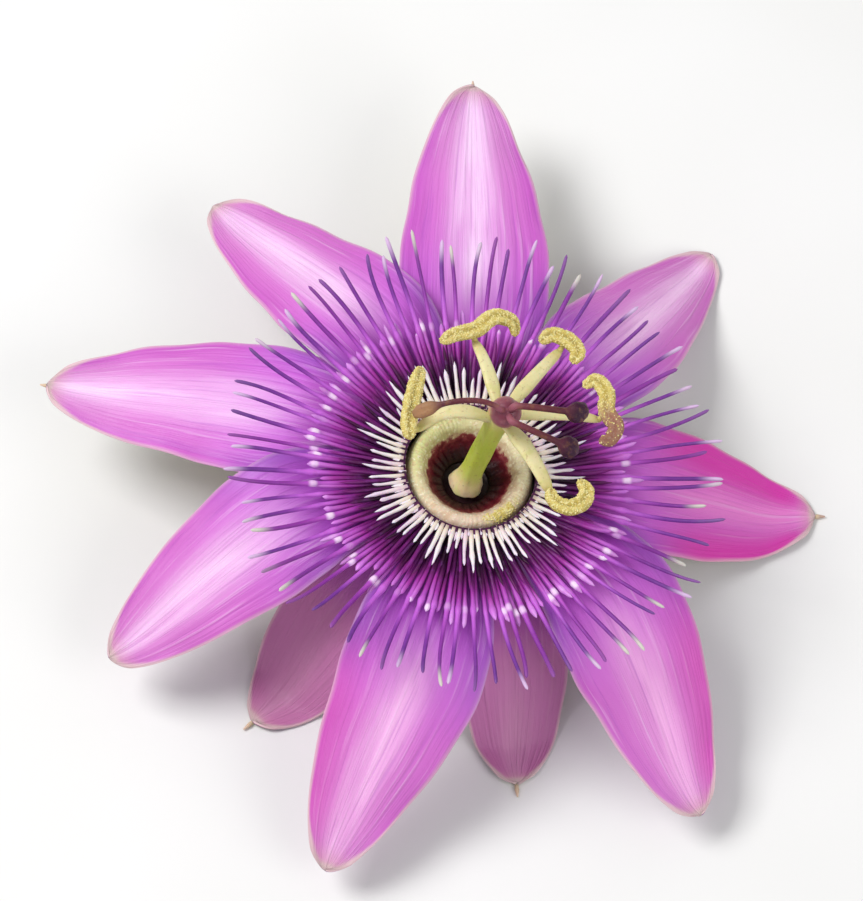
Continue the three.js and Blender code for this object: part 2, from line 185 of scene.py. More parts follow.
def reading(tree, name):
    """What a piece's mesh says under this name."""
    return add_node(tree, "ShaderNodeAttribute", attribute_name=name).outputs["Fac"]


def faded(tree, value, low, high, start=0.0, end=1.0):
    """start up to low, end from high on, and a soft change between them."""
    inputs = {0: value, 1: low, 2: high, 3: start, 4: end}
    return add_node(tree, "ShaderNodeMapRange", inputs, interpolation_type="SMOOTHSTEP").outputs[0]


def colours_along(tree, share, stops):
    """Colours that follow each other along a share of 0 to 1."""
    ramp = add_node(tree, "ShaderNodeValToRGB", {0: share})
    band = ramp.color_ramp
    while len(band.elements) < len(stops):
        band.elements.new(0.5)
    for element, (place, shade) in zip(band.elements, stops):
        element.position = place
        element.color = colour(*shade)
    return ramp.outputs[0]


def blended(tree, share, first, second):
    """first with second over it, as strongly as share says."""
    return add_node(tree, "ShaderNodeMix", {0: share, 6: first, 7: second}, data_type="RGBA").outputs[2]


def tinted(tree, shade, share, tint):
    """shade with a tint over it, as strongly as share says."""
    return blended(tree, share, shade, colour(*tint))


def mottle(tree, size, detail=3.0, stretch=(1, 1, 1)):
    """Cloudy variation in the piece's own space, with lumps of about size millimetres."""
    place = add_node(tree, "ShaderNodeTexCoord").outputs["Object"]
    turned = add_node(tree, "ShaderNodeMapping", {0: place, 3: stretch}).outputs[0]
    inputs = {0: turned, 2: 1 / (size * MM), 3: detail}
    return add_node(tree, "ShaderNodeTexNoise", inputs).outputs[0]


def patched(tree, shade, lumps, low, high, strength, tint):
    """shade with patches of a tint where lumps, a size in millimetres or a mottle, pass low."""
    lumps = mottle(tree, lumps) if isinstance(lumps, float) else lumps
    return tinted(tree, shade, faded(tree, lumps, low, high, 0, strength), tint)


def plant_finish(name, specular, soaking=0.0, **constants):
    """A new finish and its shader, with the values that hold all over the surface. Light soaks
    about a millimetre into it, as far as soaking says."""
    finish = bpy.data.materials.new(name)
    finish.use_nodes = True
    tree = finish.node_tree
    shader = tree.nodes["Principled BSDF"]
    constants |= {"Specular_IOR_Level": specular, "Subsurface_Weight": soaking, "Subsurface_Scale": MM}
    for socket, value in constants.items():
        shader.inputs[socket.replace("_", " ")].default_value = value
    return finish, tree, shader


def lay_on(tree, shader, shade, drift, roughness, height=None, depth=0.0):
    """Gives the shader its colour, a roughness that drifts between two values, and the skin's fine
    unevenness, height from 0 to 1 over depth millimetres."""
    tree.links.new(shade, shader.inputs["Base Color"])
    tree.links.new(faded(tree, drift, 0.3, 0.7, *roughness), shader.inputs["Roughness"])
    if height is not None:
        bump = add_node(tree, "ShaderNodeBump", {"Height": height, "Distance": depth * MM})
        tree.links.new(bump.outputs[0], shader.inputs["Normal"])


stalk_green, tree, shader = plant_finish("stalk_green", specular=0.4, soaking=0.1)
heart = reading(tree, "heart")
skin = colours_along(tree, reading(tree, "along"), [
    (0.0, (150, 172, 74)), (0.45, (142, 160, 78)), (0.8, (150, 140, 88)), (1.0, (158, 122, 92)),
])
skin = tinted(tree, skin, faded(tree, reading(tree, "rib"), 0.2, 1.0, 0, 0.5), (184, 192, 118))
skin = patched(tree, skin, 2.2, 0.52, 0.7, 0.4, (140, 92, 96))
flesh = colours_along(tree, heart, [
    (0.0, (140, 150, 80)), (0.25, (196, 204, 140)), (0.6, (222, 226, 176)), (1.0, (238, 236, 206)),
])
shade = blended(tree, faded(tree, heart, 0.02, 0.06), skin, flesh)
lay_on(tree, shader, shade, mottle(tree, 1.0), (0.42, 0.58), mottle(tree, 0.5, 4), 0.08)

stalk_top = bloom_frame @ Vector((0, 0, CALYX_FOOT + 0.2))
stalk_down = bloom_frame.to_3x3() @ Vector((0, 0, -1))
stalk_out = from_axis(1, STALK_AZIMUTH)
stalk_across = from_axis(1, STALK_AZIMUTH + 90)


def along_surface(distance, sideways, height=0.0):
    """A point of the stalk's middle line where it lies on the surface."""
    foot = Vector((stalk_top.x, stalk_top.y, STALK_RADIUS * 0.93 + height))
    return foot + stalk_out * distance + stalk_across * sideways


stalk_path = smooth_path([
    stalk_top,
    stalk_top + stalk_down * 3.1,
    stalk_top + stalk_down * 5.9 + stalk_out * 1.2,
    along_surface(5.4, 0, 1.1),
    along_surface(9.5, 0),
    along_surface(17, 0.5),
    along_surface(26, 0.2),
    along_surface(34, -0.6),
    along_surface(41, -1.6),
], STALK_STEPS)


def stalk_section(share, angle):
    """Round, with faint ribs that turn slowly, and swollen at its top."""
    swell = 1 + 0.16 * np.exp(-((share / 0.07) ** 2)) + 0.05 * np.sin(share * 23) * np.sin(share * 7)
    reach = STALK_RADIUS * 0.95 * swell * (1 + 0.035 * np.cos(STALK_RIBS * angle + 2 * share))
    return reach * np.cos(angle), reach * np.sin(angle)


rings = swept_rings(stalk_path, stalk_section, STALK_SIDES, up=stalk_across)
rings[..., 2] = np.maximum(rings[..., 2], STALK_LOWEST)
cut = rings[-1].mean(axis=0)
rows = len(rings)
rings = np.concatenate([rings, [cut + (rings[-1] - cut) * scale for scale, depth in CUT_RINGS]])
ribs = 0.5 + 0.5 * np.cos(STALK_RIBS * 2 * np.pi * np.arange(STALK_SIDES) / STALK_SIDES)
stalk = plant_piece("stalk_stem", *skin_over(rings, rings[0].mean(axis=0), cut), stalk_green,
                    along=np.repeat(np.minimum(np.arange(len(rings)) / (rows - 1), 1), STALK_SIDES),
                    rib=np.tile(ribs, len(rings)),
                    heart=np.repeat([0] * rows + [depth for scale, depth in CUT_RINGS], STALK_SIDES))
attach(stalk, "root")
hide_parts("stalk")


# ---- bracts --------------------------------------------------------------------------------
# Three pointed leaves that ring the stalk under the calyx: thin, bright yellow-green, with a pale
# midrib and side veins and a faintly toothed edge. Each grows from the top of the stalk.
BRACT_AZIMUTHS = (15, 135, 255)
BRACT_ROOT = 1.65
BRACT_REACH = 17.5
BRACT_HALF = 6.4
BRACT_LEVEL = -10.45
BRACT_RISE = 1.9
BRACT_VEINS = 8
BRACT_WALL = 0.42
BRACT_ROWS = 34
BRACT_COLUMNS = 15


def softened(value, low, high):
    """0 up to low, 1 from high on, and a soft change between them."""
    share = np.clip((value - low) / (high - low), 0, 1)
    return share * share * (3 - 2 * share)


def settle(piece):
    """Makes what the piece's modifiers do a part of its mesh, and takes them off."""
    view = bpy.context.evaluated_depsgraph_get()
    mesh = bpy.data.meshes.new_from_object(
        piece.evaluated_get(view), preserve_all_data_layers=True, depsgraph=view)
    piece.modifiers.clear()
    piece.data = mesh
    mesh.name = piece.name


def leaf_sheet(name, points, thickness, rim, finishes, **readings):
    """A thin leaf or petal over rows of points, with an upper and an under finish. Its thickness,
    in millimetres, falls to the share rim at its edges."""
    rows, columns = points.shape[:2]
    faces = []
    for row in range(rows - 1):
        for start in range(row * columns, (row + 1) * columns - 1):
            faces.append((start, start + columns, start + columns + 1, start + 1))
    mesh = plant_mesh(name, points.reshape(-1, 3), faces, readings)
    piece = placed(name, mesh)
    body = 1 - (1 - rim) * np.abs(np.linspace(-1, 1, columns)) ** 4
    weight = piece.vertex_groups.new(name="body")
    for number in range(rows * columns):
        weight.add([number], float(body[number % columns]), "REPLACE")
    sheet = bmesh.new()
    sheet.from_mesh(mesh)
    bmesh.ops.remove_doubles(sheet, verts=sheet.verts, dist=5 * MERGED)
    if sum(face.normal.z for face in sheet.faces) < 0:
        bmesh.ops.reverse_faces(sheet, faces=sheet.faces)
    sheet.to_mesh(mesh)
    sheet.free()
    for finish in finishes:
        mesh.materials.append(finish)
    wall = piece.modifiers.new("wall", "SOLIDIFY")
    wall.thickness = thickness * MM
    wall.offset = 0
    wall.vertex_group = "body"
    wall.material_offset = 1
    settle(piece)
    piece.data.shade_smooth()
    return piece


def bract_finish(name, blade, margin, vein):
    """One side of a bract, in its three greens."""
    finish, tree, shader = plant_finish(name, specular=0.35, soaking=0.08)
    across = worked(tree, "ABSOLUTE", reading(tree, "across"))
    climb = worked(tree, "SUBTRACT", reading(tree, "along"), worked(tree, "MULTIPLY", across, 0.28))
    wave = worked(tree, "PINGPONG", worked(tree, "MULTIPLY", climb, BRACT_VEINS * 2.0), 1.0)
    midrib = faded(tree, across, 0.03, 0.1, 1, 0)
    veins = worked(tree, "MAXIMUM", faded(tree, wave, 0.0, 0.2, 0.5, 0), midrib)
    shade = patched(tree, colour(*blade), 3.5, 0.35, 0.7, 1, margin)
    shade = tinted(tree, shade, faded(tree, across, 0.75, 1.0, 0, 0.7), margin)
    shade = tinted(tree, shade, veins, vein)
    height = worked(tree, "SUBTRACT", mottle(tree, 0.7), veins)
    lay_on(tree, shader, shade, mottle(tree, 1.5), (0.45, 0.6), height, 0.12)
    return finish


bract_finishes = [
    bract_finish("bract_upper", (150, 182, 66), (122, 158, 52), (196, 212, 126)),
    bract_finish("bract_under", (172, 196, 104), (150, 176, 84), (206, 218, 150)),
]
along = np.linspace(0, 1, BRACT_ROWS)[:, None]
across = np.linspace(-1, 1, BRACT_COLUMNS)[None, :]
radius = BRACT_ROOT + (BRACT_REACH - BRACT_ROOT) * along[:, 0]
for number, azimuth in enumerate(BRACT_AZIMUTHS, 1):
    teeth = 1 + 0.03 * np.abs(across) * np.sin(along * 50 + across)
    rise = np.sin(np.pi * (0.1 + 0.9 * along**0.8)) ** 0.9
    half = BRACT_HALF * teeth * np.where(along < 0.5, np.maximum(0.12, rise), rise + 0.004)
    curl = 0.14 * half * across**2 * along - 0.3 * np.exp(-((across / 0.12) ** 2)) * (1 - along)
    ripple = 0.22 * across**2 * np.sin(along * 17 + number * 2 + across)
    level = BRACT_LEVEL + BRACT_RISE * along**2 + curl + ripple * softened(along, 0.2, 0.6)
    points = np.array([
        [tuple(bloom_frame @ (from_axis(reach, azimuth, z) + from_axis(v, azimuth + 90)))
         for v, z in zip((half * across)[row], level[row])]
        for row, reach in enumerate(radius)
    ])
    bract = leaf_sheet(f"bract_leaf_{number}", points, BRACT_WALL, 0.4, bract_finishes,
                       along=along + 0 * across, across=across + 0 * along)
    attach(bract, "root")
    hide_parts(f"bract_{number}")


# ---- calyx ---------------------------------------------------------------------------------
# The green cup that carries every other piece, grown from the swollen end of the stalk. It is
# firm and waxy, lobed where the sepals leave it, and its rim is level under the corona.
CALYX_FLOOR = -3.6
CALYX_PROFILE = [
    (0, CALYX_FOOT), (1.9, CALYX_FOOT), (3.4, -9.3), (7.0, -8.0), (9.6, -5.4), (10.8, -3.2),
    (11.0, -2.0), (5.4, -2.0), (2.9, CALYX_FLOOR), (0, CALYX_FLOOR),
]
CALYX_SIDES = 120
CALYX_STEPS = 5


def turned_rings(profile, sides, steps, ripple):
    """Rings round an axis through a softened profile of radius and level; ripple(radius, level,
    angle) says how far each point is moved out and up."""
    path = smooth_path([Vector((radius, 0, level)) for radius, level in profile], steps)
    radius = np.array([max(p.x, 0.02) for p in path])[:, None]
    level = np.array([p.z for p in path])[:, None]
    angle = (2 * np.pi * np.arange(sides) / sides)[None, :]
    out, up = ripple(radius, level, angle)
    rings = [(radius + out) * np.cos(angle), (radius + out) * np.sin(angle), level + up + 0 * angle]
    return np.stack(rings, axis=-1)


def set_in(place, rings):
    """The same rings in a frame of their own."""
    return rings @ np.array(place.to_3x3()).T + np.array(place.translation)


def turned_piece(name, place, rings, finish, *ends, **readings):
    """A piece over rings round the axis of place. ends are the two levels at which it closes on
    the axis; without them it runs from the last ring back to the first."""
    poles = [place @ Vector((0, 0, level)) for level in ends]
    corners, faces = skin_over(set_in(place, rings), *poles, joined=not poles)
    return plant_piece(name, corners, faces, finish, **readings)


def calyx_ripple(radius, level, angle):
    """Five lobes and fine veins, below the rim only."""
    lobe = 0.5 + 0.5 * np.cos(5 * angle)
    vein = 0.5 + 0.5 * np.cos(30 * angle)
    below = softened(-level, 2.2, 3.4) * softened(radius, 2.0, 5.0)
    return -below * (0.35 * (1 - lobe) + 0.08 * (1 - vein)), 0 * radius


calyx_green, tree, shader = plant_finish("calyx_green", specular=0.45, soaking=0.1)
shade = colours_along(tree, reading(tree, "height"), [
    (0.0, (168, 186, 88)), (0.5, (138, 166, 72)), (0.85, (160, 178, 92)), (1.0, (188, 188, 128)),
])
shade = patched(tree, shade, 2.5, 0.4, 0.7, 0.6, (112, 140, 58))
shade = patched(tree, shade, mottle(tree, 0.6, 2), 0.56, 0.66, 0.5, (200, 206, 140))
# the calyx floor deep in the throat is painted near-black maroon: partly the throat's own maroon, partly
# painted shade
shade = tinted(tree, shade, reading(tree, "throat"), (44, 10, 18))
lay_on(tree, shader, shade, mottle(tree, 1.2), (0.35, 0.5), mottle(tree, 0.8, 4), 0.1)

rings = turned_rings(CALYX_PROFILE, CALYX_SIDES, CALYX_STEPS, calyx_ripple)
reach = np.hypot(rings[..., 0], rings[..., 1])
# this reading marks the floor at the bottom of the throat, painted dark as painted shade over maroon
calyx = turned_piece("calyx_flesh", bloom_frame, rings, calyx_green, CALYX_FOOT, CALYX_FLOOR,
                     height=(rings[..., 2] - CALYX_FOOT) / 7.5,
                     throat=softened(rings[..., 2], -4.4, -4.0) * (1 - softened(reach, 5.4, 6.4)))
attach(calyx, "root")
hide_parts("calyx_cup")


# ---- sepals --------------------------------------------------------------------------------
# Five outer leaves of the bloom, grown from the calyx rim: thick, violet to orchid above with a
# pale middle that is partly their own colour and partly a painted highlight, cream-green with a raised
# keel below. Each keel ends in a small free awn.
BLADE_ROOT = 10.3
BLADE_WALL = 0.44
BLADE_ROWS = 66
BLADE_COLUMNS = 25
# root and tip azimuth, reach, drop of the tip, greatest half width, then how far its face is
# flushed magenta, dulled and cooled to violet
SEPALS = [
    (87, 88.4, 58.7, 3.6, 9.9, 0.0, 0.0, 0.2),
    (156, 164, 55.0, 11.2, 9.2, 0.05, 0.0, 0.1),
    (225, 227.6, 35.2, 27.0, 8.0, 0.0, 0.85, 0.0),
    (292, 285.6, 35.8, 22.0, 7.6, 0.1, 0.8, 0.0),
    (7, 3.1, 48.1, 14.6, 9.3, 0.95, 0.0, 0.0),
]
# level of the midrib, where it bends down, how softly, and how far it dips under the corona
SEPAL_BEND = (-1.3, 0.15, 0.12, 0.8)
KEEL_ROWS = 26
KEEL_SIDES = 10
HORN_STEPS = (0.8, 1.5, 2.1, 2.5)
bloom_axis = np.array(bloom_frame.to_3x3() @ Vector((0, 0, 1)))
blade_along = (1 - (1 - np.linspace(0, 1, BLADE_ROWS)) ** 1.5)[:, None]
blade_across = np.sin(np.linspace(-1, 1, BLADE_COLUMNS) * np.pi / 2)[None, :]


def clear_of_surface(height, lowest, softness):
    """Heights that settle softly on the surface instead of passing through it."""
    above = height - lowest
    return lowest + (above + np.hypot(above, softness)) / 2


def midrib(root, tip, reach, drop, level, knee, softness, dip, share):
    """Points down the middle of a blade: level at first, then over a soft knee, then straight."""
    def bend(place):
        return place - knee + np.hypot(place - knee, softness)

    azimuth = np.radians(root + (tip - root) * share**2 * (3 - 2 * share))
    radius = BLADE_ROOT + (reach - BLADE_ROOT) * share
    lowered = dip * softened(radius, BLADE_ROOT, 19)
    height = level - lowered - drop * (bend(share) - bend(0)) / (bend(1) - bend(0))
    line = np.stack([radius * np.cos(azimuth), radius * np.sin(azimuth), height], axis=-1)
    line = set_in(bloom_frame, line)
    line[..., 2] = clear_of_surface(line[..., 2], 0.22, 1.4)
    return line


def blade_sides(line):
    """The way across a blade and the way out of its face, at each point of its midrib."""
    along = np.gradient(line, axis=0)
    along /= np.linalg.norm(along, axis=1, keepdims=True)
    side = np.cross(bloom_axis, along)
    side /= np.linalg.norm(side, axis=1, keepdims=True)
    return side, np.cross(along, side)


def blade_shape(share, across, half, arch, chance):
    """Half widths and the blade's own relief: arched, faintly fluted, waved, hooded at its tip."""
    phase = chance.uniform(0, 6.3, 4)
    wide = 0.52 + 0.48 * np.sin(np.pi / 2 * np.minimum(1, share / 0.48))
    wide = half * wide * (1 - (0.97 * share) ** 2.8) ** 0.72 / 0.93
    wide = wide * np.sqrt(1 - np.clip((share - 0.95) / 0.05, 0, 1) ** 2.5)
    uneven = 0.02 * np.sin(share * 9 + phase[0]) * np.sign(across) + 0.008 * np.sin(share * 31 + phase[1])
    wide = wide * (1 + uneven)
    # arched across, waved and frilled at its edges, grooved down the middle, fluted, hooded
    offset = -arch * wide * across**2 * softened(share, 0.2, 0.6)
    outer = softened(share, 0.3, 0.55)
    offset += 0.3 * outer * across**2 * np.sin(share * 12 + phase[2] + 1.3 * across)
    offset += 0.16 * outer * across**4 * np.sin(share * 33 + phase[3] + 2 * np.sign(across))
    groove = softened(share, 0.15, 0.45) * (1 - softened(share, 0.8, 1))
    offset -= 0.3 * groove * np.exp(-((across / 0.16) ** 2))
    offset += 0.1 * outer * np.cos(across * 14) * (1 - share)
    offset += 0.2 * wide * across**2 * softened(share, 0.8, 0.97)
    return wide, offset


def pale_rim(share, across, wide, length):
    """How far a place lies in the pale rim, which broadens round the tip."""
    gap = np.minimum((1 - np.abs(across)) * wide, (1 - share) * length)
    broad = 0.42 + 0.7 * softened(share, 0.88, 0.98)
    return (1 - softened(gap, 0.35 * broad, broad)) * (0.3 + 0.55 * softened(share, 0.3, 0.95))


def tepal_sheet(name, row, bend, arch, seed, blade, pink, wall, rim, back):
    """The blade of a sepal or petal. row is its line in the table, blade sets its veins apart from
    the others', and pink is where its flush lies across it and along it."""
    root, tip, reach, drop, half, flush, dull, cool = row
    along = blade_along
    across = blade_across
    line = midrib(root, tip, reach, drop, *bend, along[:, 0])
    side, normal = blade_sides(line)
    wide, offset = blade_shape(along, across, half, arch, np.random.default_rng(seed))
    points = line[:, None] + side[:, None] * (wide * across)[..., None]
    points += normal[:, None] * offset[..., None]
    points[..., 2] = clear_of_surface(points[..., 2], 0.2, 0.4)
    edges, low, high = pink
    flat = np.zeros(points.shape[:2])
    return leaf_sheet(
        name, points, wall, rim, [tepal_face, back],
        along=along + flat, across=across + flat,
        from_axis=BLADE_ROOT + (reach - BLADE_ROOT) * along + flat, blade=flat + blade,
        flush=flush * edges * softened(along, low, 0.6) * (1 - 0.6 * softened(along, high, 1)),
        dull=dull * softened(along, 0.2, 0.5) + flat, rich=flush + flat,
        pale_edge=pale_rim(along, across, wide, reach - BLADE_ROOT),
        cool=cool * (1 - 0.85 * softened(along, 0.28, 0.62)) + flat)


def product(tree, *factors):
    """Sockets and numbers multiplied with each other."""
    made = factors[0]
    for factor in factors[1:]:
        made = worked(tree, "MULTIPLY", made, factor)
    return made


def streaks(tree, along, across, detail):
    """Cloudy streaks on a blade, this many times finer along it and across it."""
    inputs = {0: product(tree, reading(tree, "along"), along),
              1: product(tree, reading(tree, "across"), across), 2: reading(tree, "blade")}
    place = add_node(tree, "ShaderNodeCombineXYZ", inputs).outputs[0]
    return add_node(tree, "ShaderNodeTexNoise", {0: place, 2: 1.0, 3: detail}).outputs[0]


# the face of a sepal or petal: violet at the heart, orchid further out, a pale middle that is
# partly its own colour and partly a painted highlight, deeper margins, fine lengthwise veins, and a
# thin pale rim
tepal_face, tree, shader = plant_finish("tepal_face", specular=0.42, soaking=0.12, Sheen_Weight=0.12,
                                        Sheen_Roughness=0.4, Subsurface_Radius=(1.0, 0.4, 0.9))
out = reading(tree, "from_axis")
edge = worked(tree, "ABSOLUTE", reading(tree, "across"))
rich = reading(tree, "rich")
veins = streaks(tree, 2.5, 15.0, 4.0)
cloud = streaks(tree, 3.0, 3.0, 2.0)
shade = colours_along(tree, faded(tree, out, 10, 56), [
    (0.0, (136, 38, 140)), (0.11, (172, 62, 180)), (0.22, (214, 104, 222)), (0.36, (214, 108, 216)),
    (0.56, (212, 110, 206)), (0.82, (214, 118, 204)), (1.0, (212, 134, 202)),
])
shade = tinted(tree, shade, reading(tree, "cool"), (168, 84, 200))
# the pale middle stripe down each blade: partly the blade's own paleness, partly a painted highlight
middle = product(tree, faded(tree, edge, 0.0, 0.62, 1, 0), faded(tree, out, 19, 33),
                 faded(tree, cloud, 0.3, 0.62, 0.55, 1.0), faded(tree, rich, 0.0, 1.0, 1.0, 0.8))
pale_and_highlight_stripe = blended(tree, rich, colour(253, 212, 251), colour(252, 150, 224))
shade = blended(tree, middle, shade, pale_and_highlight_stripe)
margin = product(tree, faded(tree, edge, 0.55, 0.95), faded(tree, cloud, 0.35, 0.6, 0.3, 0.75))
shoulder = product(tree, faded(tree, edge, 0.5, 1.0, 0, 0.6), faded(tree, out, 23, 34, 1, 0))
for share, tint in (
    (margin, (196, 82, 192)),
    (shoulder, (146, 84, 196)),
    (faded(tree, veins, 0.42, 0.3, 0, 0.3), (172, 78, 190)),
    (faded(tree, veins, 0.56, 0.72, 0, 0.35), (246, 206, 246)),
    (reading(tree, "flush"), (220, 52, 172)),
    (reading(tree, "dull"), (202, 126, 168)),
    (faded(tree, reading(tree, "along"), 0.92, 1.0, 0, 0.6), (222, 166, 180)),
    (reading(tree, "pale_edge"), (226, 198, 196)),
):
    shade = tinted(tree, shade, share, tint)
lay_on(tree, shader, shade, veins, (0.4, 0.54), veins, 0.28)


def tepal_under(name, middle, margin, keel):
    """The back of a sepal or petal, paler than its face, with the keel showing as a band."""
    finish, tree, shader = plant_finish(name, specular=0.35, soaking=0.1)
    edge = worked(tree, "ABSOLUTE", reading(tree, "across"))
    veins = streaks(tree, 3.0, 17.0, 4.0)
    shade = colours_along(tree, edge, [(0.0, keel), (0.2, middle), (0.62, middle), (0.9, margin)])
    shade = patched(tree, shade, veins, 0.5, 0.7, 0.4, keel)
    shade = patched(tree, shade, veins, 0.45, 0.3, 0.45, margin)
    lay_on(tree, shader, shade, veins, (0.45, 0.6), veins, 0.3)
    return finish


sepal_back = tepal_under("sepal_back", (206, 206, 156), (158, 96, 150), (184, 200, 118))
keel_green, tree, shader = plant_finish("keel_green", specular=0.35, soaking=0.1)
shade = colours_along(tree, reading(tree, "along"), [
    (0.0, (176, 186, 120)), (0.6, (170, 184, 104)), (0.85, (196, 186, 140)), (1.0, (222, 190, 170)),
])
shade = patched(tree, shade, 1.4, 0.5, 0.7, 0.4, (150, 112, 120))
lay_on(tree, shader, shade, mottle(tree, 0.8), (0.45, 0.58), mottle(tree, 0.5), 0.06)


def keel_section(share, angle):
    """A thin round rib that thickens into the free awn and narrows to its point."""
    thick = 0.15 + 0.17 * softened(share, 0.86, 0.93)
    thick = thick * (1 - 0.72 * softened(share, 0.92, 1)) * np.minimum(1, share * 12 + 0.1)
    return thick * np.cos(angle), thick * np.sin(angle)


# the fifth sepal's flush covers most of its face; any other's stays near the edges
for number, row in enumerate(SEPALS, 1):
    edges = softened(np.abs(blade_across), 0.2, 1)
    if number == 5:
        edges = 0.25 + 0.75 * softened(np.abs(blade_across + 0.12), 0.15, 0.75)
    sepal = tepal_sheet(f"sepal_blade_{number}", row, SEPAL_BEND, arch=0.08, seed=40 + number,
                        blade=number * 3.7, pink=(edges, 0.28, 0.88), wall=BLADE_WALL, rim=0.4,
                        back=sepal_back)
    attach(sepal, "root")
    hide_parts(f"sepal_{number}")

    keel_line = midrib(*row[:4], *SEPAL_BEND, np.linspace(0.25, 0.97, KEEL_ROWS))
    keel_line = keel_line - 0.3 * blade_sides(keel_line)[1]
    free = keel_line[-1] - keel_line[-3]
    free = free / np.linalg.norm(free)
    horn = [keel_line[-1] + free * step + np.array([0, 0, 0.03 * step]) for step in HORN_STEPS]
    keel_line[:, 2] = np.maximum(keel_line[:, 2], 0.16)
    keel_line = np.concatenate([keel_line, horn])
    keel_line[KEEL_ROWS:, 2] = np.maximum(keel_line[KEEL_ROWS:, 2], 0.3)
    rings = swept_rings(keel_line, keel_section, KEEL_SIDES)
    keel = plant_piece(f"sepal_keel_{number}", *skin_over(rings, keel_line[0], keel_line[-1]), keel_green,
                       along=np.repeat(np.linspace(0, 1, len(rings)), KEEL_SIDES))
    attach(keel, "root")


# ---- petals --------------------------------------------------------------------------------
# Five inner leaves of the bloom, set between the sepals and over their edges. They are thinner and
# have no keel, and their backs are lilac. They grow from the same rim, just under the corona.
PETAL_BEND = (-0.15, 0.35, 0.08, 0.0)
# the same eight numbers for each petal as for a sepal
PETALS = [
    (119, 127.1, 52.8, 12.5, 8.6, 0.05, 0.08, 0.1),
    (193, 205, 48.0, 18.0, 8.8, 0.05, 0.14, 0.4),
    (257, 251.8, 50.2, 17.2, 9.1, 0.35, 0.12, 0.4),
    (323, 307.6, 50.9, 10.6, 9.1, 0.5, 0.08, 0.2),
    (46, 48.8, 53.9, 17.6, 8.0, 0.1, 0.15, 0.45),
]
petal_back = tepal_under("petal_back", (206, 160, 206), (176, 104, 184), (222, 200, 204))
# the third and fourth petals are flushed along one side only
flushed_side = {3: softened(-blade_across, 0.1, 0.9), 4: softened(blade_across, 0.1, 0.9)}
for number, row in enumerate(PETALS, 1):
    edges = flushed_side.get(number, softened(np.abs(blade_across), 0.3, 1))
    petal = tepal_sheet(f"petal_blade_{number}", row, PETAL_BEND, arch=0.1, seed=60 + number,
                        blade=number * 2.3 + 30, pink=(edges, 0.3, 0.85), wall=BLADE_WALL * 0.86,
                        rim=0.35, back=petal_back)
    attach(petal, "root")
    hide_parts(f"petal_{number}")


# ---- corona, outer rows --------------------------------------------------------------------
# Rows of stiff violet strands that spread over the petals as a shallow dish. They grow side by
# side from one dark ring on the calyx, near black at the foot. Many carry a pale bead 20 mm from
# the axis, and many of the long ones a pale tip.
CORONA_SEAT = -1.7
OUTER_RING = [(8.4, CORONA_SEAT), (9.9, CORONA_SEAT), (9.9, 0.9), (9.5, 1.15), (8.4, 1.15)]
RING_SIDES = 264
RING_STEPS = 4
RING_RIDGES = 66


def grown_from(name, result, **inputs):
    """A new Geometry Nodes tree with one result and these named inputs, and the inputs' sockets."""
    tree = bpy.data.node_groups.new(name, "GeometryNodeTree")
    tree.interface.new_socket(name=result, in_out="OUTPUT", socket_type="NodeSocketGeometry")
    for kind, names in inputs.items():
        for size in names:
            tree.interface.new_socket(name=size, in_out="INPUT", socket_type="NodeSocket" + kind)
    return tree, add_node(tree, "NodeGroupInput").outputs


def give_out(tree, shape, finish):
    """Ends a tree with this shape, its copies made real, in one finish."""
    shape = add_node(tree, "GeometryNodeRealizeInstances", {0: shape}).outputs[0]
    shape = add_node(tree, "GeometryNodeSetMaterial", {0: shape, 2: finish}).outputs[0]
    add_node(tree, "NodeGroupOutput", {0: shape})


